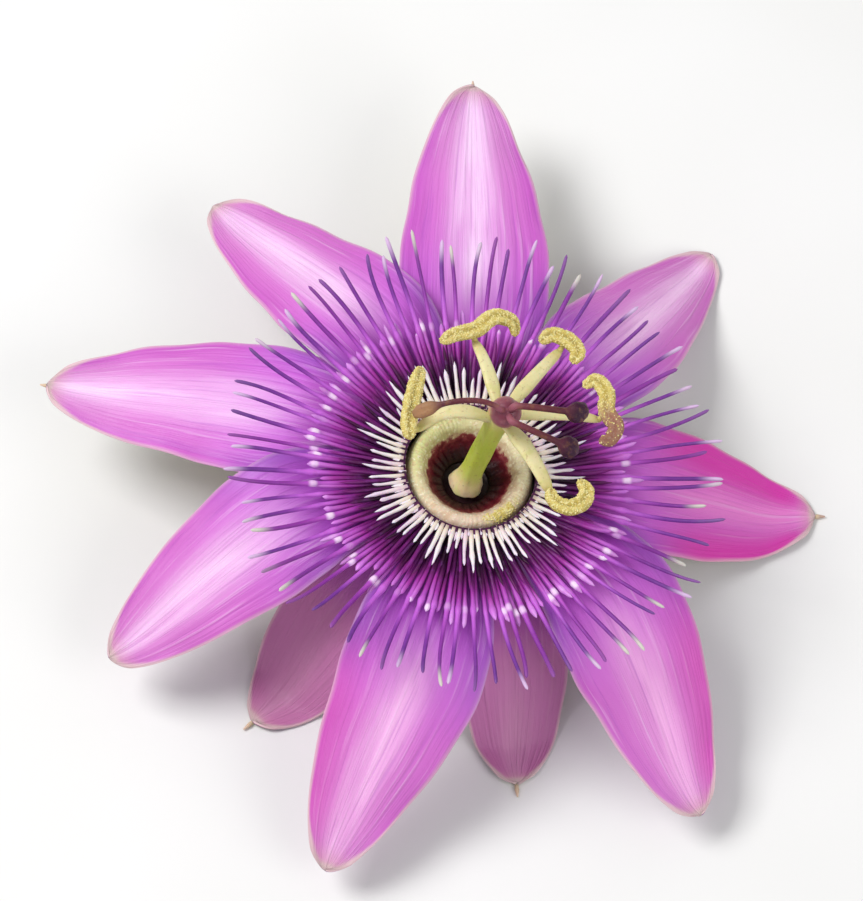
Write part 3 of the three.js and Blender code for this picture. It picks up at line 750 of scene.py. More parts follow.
def strand_row_tree():
    """Strands that spread from a ring about the bloom's axis, sized in millimetres."""
    tree, size = grown_from(
        "strand_row", "Strands", Int=("Count", "Steps", "Sides", "Seed"),
        Float=("Root", "Reach", "Level", "Lift", "Thickness", "Taper", "Unevenness", "Waviness", "Curl",
               "Bead", "Bead Radius", "Gather", "Gather At", "Shift", "Tip Gather", "Knob"),
        Material=("Finish",))

    def times(*factors):
        return product(tree, *factors)

    def plus(first, second):
        return worked(tree, "ADD", first, second)

    def less(first, second):
        return worked(tree, "SUBTRACT", first, second)

    line = add_node(tree, "GeometryNodeCurvePrimitiveLine", {1: (1, 0, 0)})
    stations = add_node(tree, "GeometryNodeResampleCurve", {0: line.outputs[0], "Count": size["Steps"]})
    copies = add_node(tree, "GeometryNodeDuplicateElements",
                      {0: stations.outputs[0], "Amount": size["Count"]}, domain="SPLINE")
    strand = copies.outputs["Duplicate Index"]

    def chance(draw, low, high):
        inputs = {2: low, 3: high, 7: strand, 8: plus(size["Seed"], float(draw))}
        return add_node(tree, "FunctionNodeRandomValue", inputs, data_type="FLOAT").outputs[1]

    # how far along its strand a station lies: they gather at the bead and at the tip
    factor = add_node(tree, "GeometryNodeSplineParameter").outputs["Factor"]
    turn = times(less(factor, size["Gather At"]), math.tau)
    back = worked(tree, "SINE", times(size["Gather At"], math.tau))
    pull = times(plus(worked(tree, "SINE", turn), back), size["Gather"], 1 / math.tau)
    rest = worked(tree, "POWER", less(1.0, less(factor, pull)), plus(size["Tip Gather"], 1.0))
    share = less(1.0, rest)
    reach = times(size["Reach"], plus(times(chance(1, -1.0, 1.0), size["Unevenness"]), 1.0))
    radius = plus(size["Root"], times(less(reach, size["Root"]), share))

    # where it lies: swaying and drifting sideways, rising outwards, curled at the tip
    phase = plus(times(share, chance(2, 5.0, 9.0)), chance(3, 0.0, math.tau))
    sway = times(worked(tree, "SINE", phase), size["Waviness"], share)
    drift = plus(times(chance(4, -0.01, 0.01), share), worked(tree, "DIVIDE", sway, radius))
    tip = worked(tree, "POWER", share, 7.0)
    drift = plus(drift, times(tip, size["Curl"], chance(12, -0.03, 0.03)))
    place = plus(plus(strand, size["Shift"]), chance(5, -0.16, 0.16))
    angle = plus(worked(tree, "DIVIDE", times(place, math.tau), size["Count"]), drift)
    bowed = plus(times(share, 0.475), times(share, share, 0.525))
    lift = times(size["Lift"], chance(6, 0.8, 1.2), bowed)
    lift = plus(lift, times(tip, size["Curl"], chance(7, -0.8, 1.2)))
    height = plus(size["Level"], plus(lift, times(sway, 0.5)))
    inputs = {0: times(radius, worked(tree, "COSINE", angle)),
              1: times(radius, worked(tree, "SINE", angle)), 2: height}
    position = add_node(tree, "ShaderNodeCombineXYZ", inputs).outputs[0]

    # how thick it is: tapered, with a bead, a knob at some tips and a rounded end
    apart = less(radius, plus(size["Bead Radius"], chance(8, -0.6, 0.6)))
    apart = worked(tree, "DIVIDE", apart, 0.62)
    swell = worked(tree, "EXPONENT", times(apart, apart, -1.0))
    swell = plus(times(swell, size["Bead"], chance(9, 0.3, 1.0)), 1.0)
    knob = worked(tree, "EXPONENT", times(rest, rest, -625.0))
    swell = plus(swell, times(knob, size["Knob"], chance(13, 0.4, 1.0)))
    thin = less(1.0, times(share, size["Taper"]))
    close = worked(tree, "SQRT", less(1.02, worked(tree, "POWER", share, 40.0)))
    thickness = times(size["Thickness"], chance(10, 0.85, 1.15), thin, swell, close)

    grown = copies.outputs[0]
    for name, value in (("from_axis", radius), ("bead_gap", apart), ("share", share),
                        ("strand", chance(11, 0.0, 1.0)), ("thickness", thickness)):
        inputs = {0: grown, "Name": name, "Value": value}
        grown = add_node(tree, "GeometryNodeStoreNamedAttribute", inputs,
                         data_type="FLOAT", domain="POINT").outputs[0]
    grown = add_node(tree, "GeometryNodeSetPosition", {0: grown, "Position": position}).outputs[0]
    circle = add_node(tree, "GeometryNodeCurvePrimitiveCircle", {0: size["Sides"], 4: 1.0}).outputs[0]
    stored = add_node(tree, "GeometryNodeInputNamedAttribute", {0: "thickness"}, data_type="FLOAT")
    inputs = {0: grown, 1: circle, "Scale": stored.outputs[0], "Fill Caps": True}
    skin = add_node(tree, "GeometryNodeCurveToMesh", inputs).outputs[0]
    inputs = {0: skin, 1: tuple(BLOOM_CENTRE * MM), 2: (0, BLOOM_LEAN, 0), 3: (MM, MM, MM)}
    give_out(tree, add_node(tree, "GeometryNodeTransform", inputs).outputs[0], size["Finish"])
    return tree


strand_row = strand_row_tree()


def grow(piece, tree, **sizes):
    """Runs a tree on the piece with its sizes set, and makes the result the piece's plain mesh."""
    growth = piece.modifiers.new(tree.name, "NODES")
    growth.node_group = tree
    sockets = {item.name: item.identifier for item in tree.interface.items_tree if item.in_out == "INPUT"}
    for size, value in sizes.items():
        growth[sockets[size.replace("_", " ")]] = value
    settle(piece)


def grown_row(name, **sizes):
    """One row of strands."""
    piece = placed(name, bpy.data.meshes.new(name))
    grow(piece, strand_row, **sizes)
    piece.data.shade_smooth()
    return piece


def outer_strand_finish(name, stops, bead_share, tip_share):
    """Strands that run through these colours from 9 to 34 mm out. Some have a pale band on the
    bead, and some a pale tip."""
    finish, tree, shader = plant_finish(name, specular=0.4, soaking=0.05)
    strand = reading(tree, "strand")
    out = worked(tree, "ADD", reading(tree, "from_axis"), product(tree, strand, 2.4))
    along = add_node(tree, "ShaderNodeMapRange", {0: out, 1: 9.2, 2: 34.2}).outputs[0]
    shade = colours_along(tree, along, stops)
    shade = tinted(tree, shade, faded(tree, strand, 0.3, 1.0, 0, 0.4), (170, 48, 168))
    shade = patched(tree, shade, 1.1, 0.5, 0.7, 0.25, (150, 66, 176))
    gap = worked(tree, "ABSOLUTE", reading(tree, "bead_gap"))
    band = product(tree, faded(tree, gap, 0.3, 1.25, 1, 0),
                   faded(tree, strand, 1 - bead_share, 1.35 - bead_share))
    shade = tinted(tree, shade, band, (250, 220, 252))
    pick = worked(tree, "PINGPONG", product(tree, strand, 7.0), 1.0)
    tip = product(tree, faded(tree, reading(tree, "share"), 0.85, 0.97, 0, 0.9),
                  faded(tree, pick, 1 - tip_share, 1.1 - tip_share))
    pale = blended(tree, faded(tree, strand, 0.4, 0.6), colour(222, 190, 228), colour(216, 214, 200))
    shade = blended(tree, tip, shade, pale)
    lay_on(tree, shader, shade, mottle(tree, 0.7), (0.42, 0.58), mottle(tree, 0.3), 0.05)
    return finish


long_violet = outer_strand_finish("long_violet", [
    (0.0, (30, 3, 28)), (0.14, (48, 4, 46)), (0.27, (96, 14, 90)), (0.36, (156, 42, 156)),
    (0.45, (202, 104, 216)), (0.55, (188, 92, 208)), (0.67, (126, 50, 156)), (0.8, (108, 48, 142)),
    (0.92, (126, 84, 152)),
], bead_share=0.4, tip_share=0.6)
second_violet = outer_strand_finish("second_violet", [
    (0.0, (30, 3, 26)), (0.14, (50, 4, 48)), (0.25, (104, 14, 96)), (0.35, (168, 50, 162)),
    (0.45, (214, 122, 226)), (0.55, (224, 162, 234)),
], bead_share=0.65, tip_share=0.0)
short_dark = outer_strand_finish("short_dark", [
    (0.0, (24, 2, 22)), (0.18, (38, 3, 35)), (0.28, (70, 7, 64)), (0.36, (104, 18, 98)),
], bead_share=0.0, tip_share=0.0)

ring_dark, tree, shader = plant_finish("ring_dark", specular=0.4, soaking=0.05)
shade = tinted(tree, colour(40, 8, 40), reading(tree, "ridge"), (86, 24, 78))
shade = patched(tree, shade, 0.8, 0.5, 0.7, 0.5, (64, 20, 60))
lay_on(tree, shader, shade, mottle(tree, 0.6), (0.4, 0.6), mottle(tree, 0.4), 0.06)


def corona_ring(name, profile):
    """A ridged ring that a row of strands grows from."""
    def ripple(radius, level, angle):
        return 0.06 * np.cos(RING_RIDGES * angle) * softened(radius, 8.6, 9.4), 0 * radius

    rings = turned_rings(profile, RING_SIDES, RING_STEPS, ripple)
    ridge = 0.5 + 0.5 * np.cos(RING_RIDGES * 2 * np.pi * np.arange(RING_SIDES) / RING_SIDES)
    return turned_piece(name, bloom_frame, rings, ring_dark, ridge=np.tile(ridge, len(rings)))


outer_ring = corona_ring("corona_ring", OUTER_RING)
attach(outer_ring, "root")

long_row = grown_row("corona_long_strands", Count=76, Steps=30, Sides=6, Seed=11, Finish=long_violet,
                     Root=9.2, Reach=31.2, Level=0.6, Lift=4.2, Thickness=0.36, Taper=0.3,
                     Unevenness=0.045, Waviness=0.14, Curl=1.0, Bead=0.55, Bead_Radius=20.0,
                     Gather=0.7, Gather_At=0.42, Shift=0.0, Tip_Gather=0.5, Knob=0.5)
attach(long_row, "root")
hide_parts("corona_outer")

second_row = grown_row("corona_second_strands", Count=76, Steps=12, Sides=6, Seed=23,
                       Finish=second_violet, Root=9.2, Reach=20.7, Level=0.1, Lift=2.2,
                       Thickness=0.4, Taper=0.3, Unevenness=0.07, Waviness=0.1, Curl=0.5, Bead=0.6,
                       Bead_Radius=20.1, Gather=0.6, Gather_At=0.9, Shift=0.5)
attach(second_row, "root")

dark_row = grown_row("corona_dark_strands", Count=74, Steps=9, Sides=5, Seed=37, Finish=short_dark,
                     Root=9.2, Reach=16.6, Level=1.0, Lift=1.8, Thickness=0.36, Taper=0.45,
                     Unevenness=0.12, Waviness=0.1, Curl=0.4, Shift=0.25)
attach(dark_row, "root")


# ---- corona, inner row ---------------------------------------------------------------------
# A crown of short white strands with beaded ends and a fine fringe between their feet, on a narrow
# ring that sits on the outer one. The ring is dark and shows as a broken line at the nectary.
INNER_SEAT = 1.45
INNER_RING = [(8.4, INNER_SEAT), (9.5, INNER_SEAT), (9.5, 1.95), (9.1, 2.2), (8.4, 2.2)]
short_white, tree, shader = plant_finish("short_white", specular=0.4, soaking=0.15)
shade = colours_along(tree, reading(tree, "share"), [
    (0.0, (188, 160, 140)), (0.12, (236, 220, 204)), (0.35, (244, 234, 226)), (0.7, (246, 234, 240)),
    (1.0, (250, 238, 250)),
])
shade = tinted(tree, shade, faded(tree, reading(tree, "strand"), 0.5, 1.0, 0, 0.35), (226, 180, 226))
shade = patched(tree, shade, 0.9, 0.5, 0.7, 0.3, (214, 178, 214))
lay_on(tree, shader, shade, mottle(tree, 0.6), (0.4, 0.55), mottle(tree, 0.25), 0.04)

inner_ring = corona_ring("corona_inner_ring", INNER_RING)
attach(inner_ring, "root")

white_row = grown_row("corona_white_strands", Count=72, Steps=9, Sides=6, Seed=51, Finish=short_white,
                      Root=8.7, Reach=13.6, Level=1.95, Lift=1.3, Thickness=0.36, Taper=0.68,
                      Unevenness=0.13, Waviness=0.05, Curl=0.2, Bead=0.9, Bead_Radius=13.1,
                      Gather=0.4, Gather_At=0.88, Shift=0.0)
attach(white_row, "root")
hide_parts("corona_inner")

fringe = grown_row("corona_fine_fringe", Count=72, Steps=5, Sides=5, Seed=77, Finish=short_white,
                   Root=8.4, Reach=10.1, Level=1.9, Lift=0.3, Thickness=0.3, Taper=0.5,
                   Unevenness=0.08, Waviness=0.03, Curl=0.1, Shift=0.5)
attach(fringe, "root")


# ---- nectary -------------------------------------------------------------------------------
# The cream ring round the throat and the dark maroon membrane that dips inside it, grown as one
# fleshy piece on the calyx. Deep in the throat the membrane is painted near black: painted shade over
# its maroon. Fine ridges run inwards, and fallen pollen lies on one side.
NECTARY_PROFILE = [
    (8.1, CORONA_SEAT), (8.1, 0.5), (7.7, 1.2), (6.9, 1.55), (6.1, 1.2), (5.5, 0.3), (4.6, -1.0),
    (3.0, -2.4), (3.0, -3.15), (5.3, CORONA_SEAT),
]
NECTARY_SIDES = 360
NECTARY_STEPS = 4
POLLEN_AZIMUTH = -55
GREEN_AZIMUTH = 150
PINK_AZIMUTH = 265


def nectary_ridge(angle):
    """Fine ridges, unevenly spaced, from -1 to 1."""
    return np.cos(90 * angle + 2.2 * np.sin(11 * angle))


def nectary_ripple(radius, level, angle):
    """Ridges on the cream ring, pleats in the membrane, and an uneven swell of the ring."""
    fold = softened(level, -0.8, 0.2) * (1 - softened(radius, 7.2, 8.0))
    deep = (1 - softened(level, -1.2, 0.2)) * softened(level, -2.6, -1.6) * (1 - softened(radius, 5.2, 5.8))
    ridge = 0.03 * fold * nectary_ridge(angle) * (1 + 0.8 * np.sin(7 * angle))
    pleat = 0.18 * deep * np.cos(24 * angle + 1.2 * np.sin(5 * angle))
    swell = 0.07 * fold * (np.sin(3 * angle) + np.sin(13 * angle + 2) * np.cos(4 * angle))
    return 0.5 * (ridge + pleat) + swell, ridge + pleat + swell


cream_ring, tree, shader = plant_finish("cream_ring", specular=0.25, soaking=0.15)
ragged = faded(tree, mottle(tree, 0.9, 4), 0.3, 0.7, -0.05, 0.05)
outward = worked(tree, "ADD", reading(tree, "outward"), ragged)
# from the throat outwards: near black, maroon, then cream; the near-black deep end is painted shade over
# the membrane's own maroon
shade = colours_along(tree, outward, [
    (0.0, (18, 1, 5)), (0.2, (50, 2, 14)), (0.36, (92, 8, 30)), (0.44, (136, 58, 64)),
    (0.5, (206, 176, 146)), (0.62, (236, 224, 186)), (0.86, (226, 216, 170)), (1.0, (172, 158, 118)),
])
ring_only = faded(tree, outward, 0.45, 0.54)
dust = product(tree, reading(tree, "pollen"), faded(tree, mottle(tree, 0.7), 0.4, 0.55))
for share, tint in (
    (product(tree, faded(tree, reading(tree, "ridge"), 0.5, 0.0, 0, 0.16), ring_only), (196, 150, 130)),
    (product(tree, reading(tree, "green_side"), ring_only), (200, 206, 120)),
    (product(tree, reading(tree, "pink_side"), ring_only), (228, 190, 190)),
    (dust, (226, 212, 92)),
    (product(tree, faded(tree, mottle(tree, 0.8, 4), 0.5, 0.66, 0, 0.6), ring_only), (204, 172, 136)),
    (product(tree, faded(tree, mottle(tree, 0.45, 4), 0.56, 0.66, 0, 0.6), ring_only), (248, 240, 214)),
):
    shade = tinted(tree, shade, share, tint)
lay_on(tree, shader, shade, mottle(tree, 0.6), (0.34, 0.5), mottle(tree, 0.35), 0.1)

rings = turned_rings(NECTARY_PROFILE, NECTARY_SIDES, NECTARY_STEPS, nectary_ripple)
angle = np.arctan2(rings[..., 1], rings[..., 0])
radius = np.hypot(rings[..., 0], rings[..., 1])
spill = np.exp(-((angle - math.radians(POLLEN_AZIMUTH)) / 0.32) ** 2) * np.exp(-((radius - 7.0) / 0.8) ** 2)
nectary = turned_piece("nectary_ring", bloom_frame, rings, cream_ring,
                       outward=(radius - 3) / 5.1, ridge=0.5 + 0.5 * nectary_ridge(angle),
                       green_side=0.55 * np.clip(np.cos(angle - math.radians(GREEN_AZIMUTH)), 0, 1),
                       pink_side=0.5 * np.clip(np.cos(angle - math.radians(PINK_AZIMUTH)), 0, 1),
                       pollen=spill, dust=np.where(rings[..., 2] > 0, spill**2, 0))
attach(nectary, "root")
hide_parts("nectary")


# ---- column --------------------------------------------------------------------------------
# The stem that lifts ovary and stamens out of the throat: solid, smooth and bright yellow-green,
# paler at its flared foot, which grows from the floor of the calyx. It leans to one side.
COLUMN_LENGTH = 17.5
COLUMN_LEAN = math.radians(10.5)
COLUMN_AZIMUTH = 48
COLUMN_PROFILE = [
    (0, 0), (2.2, 0), (2.1, 0.6), (1.7, 1.9), (1.45, 4.0), (1.42, 9.0), (1.4, 13.5), (1.6, 16.0),
    (1.65, COLUMN_LENGTH), (1.1, COLUMN_LENGTH + 0.5), (0, COLUMN_LENGTH + 0.7),
]
COLUMN_FOOT = -2.9
COLUMN_SIDES = 48
COLUMN_STEPS = 6
column_frame = (bloom_frame @ Matrix.Translation((0, 0, COLUMN_FOOT))
                @ Matrix.Rotation(COLUMN_LEAN, 4, from_axis(1, COLUMN_AZIMUTH + 90)))


def column_ripple(radius, level, angle):
    """Five soft flutes and a fine unevenness."""
    flute = np.cos(5 * (angle - math.radians(20)))
    swell = softened(radius, 0.6, 1.3) * (1 - softened(level, 17, 18))
    return 0.07 * flute * swell + 0.03 * np.cos(11 * angle + level) * swell, 0 * radius


column_green, tree, shader = plant_finish("column_green", specular=0.45, soaking=0.15)
shade = colours_along(tree, reading(tree, "along"), [
    (0.0, (244, 214, 176)), (0.1, (240, 220, 164)), (0.24, (206, 216, 92)), (0.6, (192, 210, 72)),
    (0.85, (202, 210, 92)), (0.95, (210, 202, 124)), (1.0, (188, 140, 118)),
])
shade = patched(tree, shade, mottle(tree, 1.6, 3, (1, 1, 0.3)), 0.45, 0.7, 0.5, (214, 220, 120))
shade = patched(tree, shade, mottle(tree, 0.5, 2), 0.62, 0.72, 0.4, (150, 110, 90))
lay_on(tree, shader, shade, mottle(tree, 0.8), (0.32, 0.46), mottle(tree, 0.5), 0.05)

rings = turned_rings(COLUMN_PROFILE, COLUMN_SIDES, COLUMN_STEPS, column_ripple)
column = turned_piece("column_stem", column_frame, rings, column_green, 0, COLUMN_LENGTH + 0.72,
                      along=rings[..., 2] / COLUMN_LENGTH)
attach(column, "root")
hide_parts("column")


# ---- ovary ---------------------------------------------------------------------------------
# The young fruit on the end of the column, an egg of green flesh with three faint seams, nodding
# over the stamens. It flushes maroon over its upper half, where the styles leave it.
OVARY_FOOT = 0.9
OVARY_HEIGHT = 4.3
OVARY_RADIUS = 2.0
OVARY_NOD = math.radians(34)
OVARY_AZIMUTH = 257
OVARY_SIDES = 48
OVARY_STEPS = 3
BULGE_POINTS = 12
crown_frame = (column_frame @ Matrix.Translation((0, 0, COLUMN_LENGTH))
               @ Matrix.Rotation(OVARY_NOD, 4, from_axis(1, OVARY_AZIMUTH + 90)))
ovary_profile = [(0, -0.2), (0.75, -0.1), (0.8, OVARY_FOOT - 0.25)]
for step in range(1, BULGE_POINTS):
    bulge = math.pi * step / BULGE_POINTS
    reach = OVARY_RADIUS * math.sin(bulge) ** 0.8
    ovary_profile.append((reach, OVARY_FOOT + OVARY_HEIGHT * (1 - math.cos(bulge)) / 2))
ovary_profile.append((0, OVARY_FOOT + OVARY_HEIGHT))


def ovary_ripple(radius, level, angle):
    """Three seams from end to end."""
    return -0.1 * softened(radius, 0.8, 1.8) * np.exp(-((np.cos(1.5 * angle) / 0.25) ** 2)), 0 * radius


ovary_green, tree, shader = plant_finish("ovary_green", specular=0.5, soaking=0.15)
shade = colours_along(tree, reading(tree, "along"), [
    (0.0, (190, 190, 100)), (0.35, (192, 194, 108)), (0.55, (178, 138, 104)), (0.72, (142, 76, 88)),
    (1.0, (118, 50, 70)),
])
shade = patched(tree, shade, 0.9, 0.5, 0.7, 0.4, (168, 108, 110))
lay_on(tree, shader, shade, mottle(tree, 0.6), (0.3, 0.46), mottle(tree, 0.35), 0.05)

rings = turned_rings(ovary_profile, OVARY_SIDES, OVARY_STEPS, ovary_ripple)
ovary = turned_piece("ovary_flesh", crown_frame, rings, ovary_green, -0.2, OVARY_FOOT + OVARY_HEIGHT,
                     along=(rings[..., 2] - OVARY_FOOT) / OVARY_HEIGHT)
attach(ovary, "root")
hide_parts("ovary")


# ---- stamens -------------------------------------------------------------------------------
# Five flat, fleshy filaments that spread from the column's top and arch over. They are a creamy
# yellow-green, and each narrows to the short peg that carries its anther.
STAMEN_ROOT = 1.9
STAMEN_LEVEL = 16.6
STAMEN_DROP = 1.3
FILAMENT_SIDES = 20
FILAMENT_STEPS = 26
PEG_SIDES = 12
PEG_STEPS = 7
ANTHER_STEPS = 8
# azimuth, length, sideways bow and breadth of each filament
STAMENS = [
    (103, 11.9, 0, 1.05), (53.5, 14.6, 0, 1.05), (8, 13.6, 0, 1.0), (-56.5, 11.6, 0, 1.35),
    (195.7, 11.1, 2.6, 1.15),
]
# points along the middle of each anther, which the pegs reach for
ANTHERS = [
    [(-7.4, 10, 16.2), (-5.9, 10.8, 17), (-2.9, 12.1, 17), (-0.5, 13.9, 17.7), (1.9, 13.6, 17.3),
     (2.4, 12.2, 16.3)],
    [(5.6, 11.8, 16.3), (7.1, 12.8, 16.8), (9.2, 12.3, 16.85), (10.4, 10.7, 16.9), (9.7, 9.2, 16.4)],
    [(11.1, 6, 16.1), (12.6, 6.7, 16.9), (13.8, 5, 17.1), (13.9, 2.2, 16.85), (14.9, 0.2, 16.9),
     (14.3, -1.4, 16.3), (12.9, -1.5, 15.8)],
    [(9.8, -8, 16.5), (10.6, -9.9, 17), (9.7, -11.9, 17.2), (7.8, -12.7, 17.2), (6.2, -11.6, 16.95),
     (6, -10, 16.8)],
    [(-9.8, 6.2, 15.9), (-10.9, 2.9, 17), (-11.8, -1, 17.5), (-12.1, -3.6, 17.2), (-11.7, -5.1, 16.6)],
]
column_up = column_frame.to_3x3() @ Vector((0, 0, 1))

stamen_cream, tree, shader = plant_finish("stamen_cream", specular=0.42, soaking=0.15)
shade = colours_along(tree, reading(tree, "along"), [
    (0.0, (214, 202, 144)), (0.2, (222, 212, 154)), (0.6, (232, 222, 172)), (0.9, (220, 206, 142)),
    (1.0, (208, 190, 108)),
])
shade = patched(tree, shade, 1.3, 0.45, 0.7, 0.5, (204, 202, 118))
shade = patched(tree, shade, mottle(tree, 0.45, 2), 0.62, 0.7, 0.35, (160, 120, 90))
lay_on(tree, shader, shade, mottle(tree, 0.8), (0.36, 0.5), mottle(tree, 0.4), 0.05)


def arc(points, steps):
    """Points along a Bezier curve through its two ends, pulled by those between."""
    made = []
    for step in range(steps + 1):
        line = [Vector(p) for p in points]
        while len(line) > 1:
            line = [a.lerp(b, step / steps) for a, b in zip(line, line[1:])]
        made.append(line[0])
    return made


def filament_section(share, angle, breadth):
    """A flat bar that broadens from its root, then narrows, with a shallow groove along its top."""
    close = np.sqrt(np.clip(1.02 - share**16, 0, 1))
    wide = (0.6 + 0.42 * softened(share, 0, 0.3) - 0.42 * share) * close
    high = (0.6 - 0.15 * share) * close
    groove = 1 - 0.2 * np.exp(-(((angle - np.pi / 2) / 0.4) ** 2)) * softened(share, 0, 0.2)
    return breadth * wide * np.cos(angle), high * np.sin(angle) * groove


def peg_section(share, angle):
    """A round peg, thinner towards the anther."""
    thick = 0.42 - 0.2 * share
    return thick * np.cos(angle), thick * np.sin(angle)


for number, ((azimuth, length, bow, breadth), middle) in enumerate(zip(STAMENS, ANTHERS), 1):
    path = arc([from_axis(STAMEN_ROOT, azimuth, STAMEN_LEVEL),
                from_axis(0.6 * length, azimuth, STAMEN_LEVEL + 1.0) + from_axis(bow, azimuth - 90),
                from_axis(length, azimuth, STAMEN_LEVEL - STAMEN_DROP)], FILAMENT_STEPS)
    path = [from_axis(1.0, azimuth, STAMEN_LEVEL - 0.2)] + path
    # the peg bends from just inside the filament's end to the nearest point of the anther
    foot = path[-2]
    hinge = min(smooth_path(middle, ANTHER_STEPS), key=lambda point: (point - foot).length)
    peg_path = arc([foot, foot.lerp(hinge, 0.4) + (path[-1] - path[-3]) * 0.4, hinge], PEG_STEPS)
    path = [column_frame @ p for p in path]
    peg_path = [column_frame @ p for p in peg_path]
    rings = swept_rings(path, filament_section, FILAMENT_SIDES, up=column_up, breadth=breadth)
    corners, faces = skin_over(rings, path[0], path[-1])
    peg_rings = swept_rings(peg_path, peg_section, PEG_SIDES, up=from_axis(1, azimuth + 90))
    peg_corners, peg_faces = skin_over(peg_rings, peg_path[0], peg_path[-1])
    faces += [tuple(len(corners) + corner for corner in face) for face in peg_faces]
    along = np.repeat(np.linspace(0, 1, len(rings)), FILAMENT_SIDES)
    stamen = plant_piece(f"stamen_filament_{number}", corners + peg_corners, faces, stamen_cream,
                         along=np.concatenate([along, [0, 1], np.ones(len(peg_corners))]))
    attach(stamen, "root")
    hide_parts(f"stamen_{number}")


# ---- anthers -------------------------------------------------------------------------------
# The pollen sacs, each a curved bar of two lobes set across its filament on the peg. They have
# split along the groove and are thick with yellow pollen. Their upper faces are painted lighter than
# their undersides, partly for the pollen and partly as painted light and shade, and the groove is
# darkened with painted shade. The right one has browned at one end.
ANTHER_SIDES = 26
# how far each anther has browned
BROWNED = (0.1, 0.1, 0.8, 0.0, 0.0)
pollen_yellow, tree, shader = plant_finish("pollen_yellow", specular=0.3, soaking=0.1)
# upper face lighter, underside darker: partly the pollen's own colour, partly painted light and shade; the
# cleft along the top is darkened with painted shade
top = faded(tree, reading(tree, "top"), 0.1, 0.75)
shade = tinted(tree, colour(184, 164, 84), top, (230, 210, 130))
shade = tinted(tree, shade, reading(tree, "cleft"), (160, 138, 66))
shade = patched(tree, shade, 0.8, 0.4, 0.65, 0.6, (208, 180, 84))
shade = patched(tree, shade, mottle(tree, 0.3, 2), 0.52, 0.64, 0.8, (246, 238, 176))
shade = tinted(tree, shade, reading(tree, "brown"), (150, 88, 92))
lay_on(tree, shader, shade, mottle(tree, 0.5), (0.65, 0.9), mottle(tree, 0.3, 4), 0.3)


def anther_section(share, angle):
    """A lumpy bar of two lobes, with the split along its top."""
    swell = 0.45 + 0.55 * np.sin(np.pi * np.clip(share, 0.004, 0.996)) ** 0.5
    swell = swell * np.sqrt(np.clip(1 - (2 * share - 1) ** 14, 0.02, 1))
    lobes = 1 + 0.03 * np.sin(share * 40 + 3 * angle) + 0.03 * np.sin(share * 23 + 5 * angle)
    groove = 1 - 0.42 * np.exp(-(((angle - np.pi / 2) / 0.42) ** 2))
    return 1.08 * swell * lobes * np.cos(angle), 0.84 * swell * lobes * groove * np.sin(angle)


anthers = []
up = np.sin(2 * np.pi * np.arange(ANTHER_SIDES) / ANTHER_SIDES)
for number, (middle, brown) in enumerate(zip(ANTHERS, BROWNED), 1):
    path = [column_frame @ p for p in smooth_path(middle, ANTHER_STEPS)]
    rings = swept_rings(path, anther_section, ANTHER_SIDES, up=column_up)
    share = np.linspace(0, 1, len(rings))[:, None]
    # the third anther has browned from its middle on, the first two faintly at one end
    late = softened(share, 0.35, 0.6) if number == 3 else 1 - softened(share, 0.1, 0.3)
    dust = softened(up, -0.1, 0.4) * (1 - 0.75 * softened(up, 0.88, 0.99)) * (1 - 0.9 * brown * late)
    anther = plant_piece(f"anther_sac_{number}", *skin_over(rings, path[0], path[-1]), pollen_yellow,
                         top=np.tile(up, len(rings)), brown=brown * late + 0 * up,
                         cleft=0.8 * softened(up, 0.9, 0.99) + 0 * share, dust=dust)
    anthers.append(anther)
    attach(anther, "root")
    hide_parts(f"anther_{number}")


# ---- pollen --------------------------------------------------------------------------------
# Loose yellow grains: they coat the open faces of the anthers, thinner where one has browned, and
# a spill of them lies on the nectary ring.
# grains to a square millimetre, and their radius in millimetres
ON_ANTHERS = (22.0, 0.1)
IN_SPILL = (60.0, 0.13)
SPILL_SEED = 9


def pollen_tree():
    """Grains strewn over a surface, as thickly as its dust reading says."""
    tree, size = grown_from(
        "pollen", "Grains", Geometry=("Surface",), Int=("Seed",),
        Float=("Grains per square mm", "Grain Radius"), Material=("Finish",))
    dust = add_node(tree, "GeometryNodeInputNamedAttribute", {0: "dust"}, data_type="FLOAT").outputs[0]
    inputs = {"Mesh": size["Surface"], "Seed": size["Seed"],
              "Density": product(tree, dust, size["Grains per square mm"], 1e6)}
    spots = add_node(tree, "GeometryNodeDistributePointsOnFaces", inputs).outputs[0]
    grain = add_node(tree, "GeometryNodeMeshIcoSphere", {0: 1.0, 1: 1}).outputs[0]
    uneven = add_node(tree, "FunctionNodeRandomValue", {2: 0.6, 3: 1.3, 8: size["Seed"]}, data_type="FLOAT")
    turn = add_node(tree, "FunctionNodeRandomValue", {1: (6, 6, 6), 8: size["Seed"]},
                    data_type="FLOAT_VECTOR")
    inputs = {"Points": spots, "Instance": grain, "Rotation": turn.outputs[0],
              "Scale": product(tree, size["Grain Radius"], MM, uneven.outputs[1])}
    give_out(tree, add_node(tree, "GeometryNodeInstanceOnPoints", inputs).outputs[0], size["Finish"])
    return tree


grain_finish, tree, shader = plant_finish("grain_finish", specular=0.3, soaking=0.1)
shade = patched(tree, colour(220, 198, 112), mottle(tree, 0.5, 2), 0.4, 0.6, 1, (246, 230, 166))
lay_on(tree, shader, shade, mottle(tree, 0.4), (0.6, 0.85))

pollen = pollen_tree()
dusted = [(anther, ON_ANTHERS, seed) for seed, anther in enumerate(anthers, 1)]
for host, (thickness, radius), seed in dusted + [(nectary, IN_SPILL, SPILL_SEED)]:
    grains = host.copy()
    grains.data = host.data.copy()
    grains.name = f"pollen_{seed}"
    bpy.context.collection.objects.link(grains)
    grow(grains, pollen, Seed=seed, Grains_per_square_mm=thickness, Grain_Radius=radius,
         Finish=grain_finish)
    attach(grains, "root")


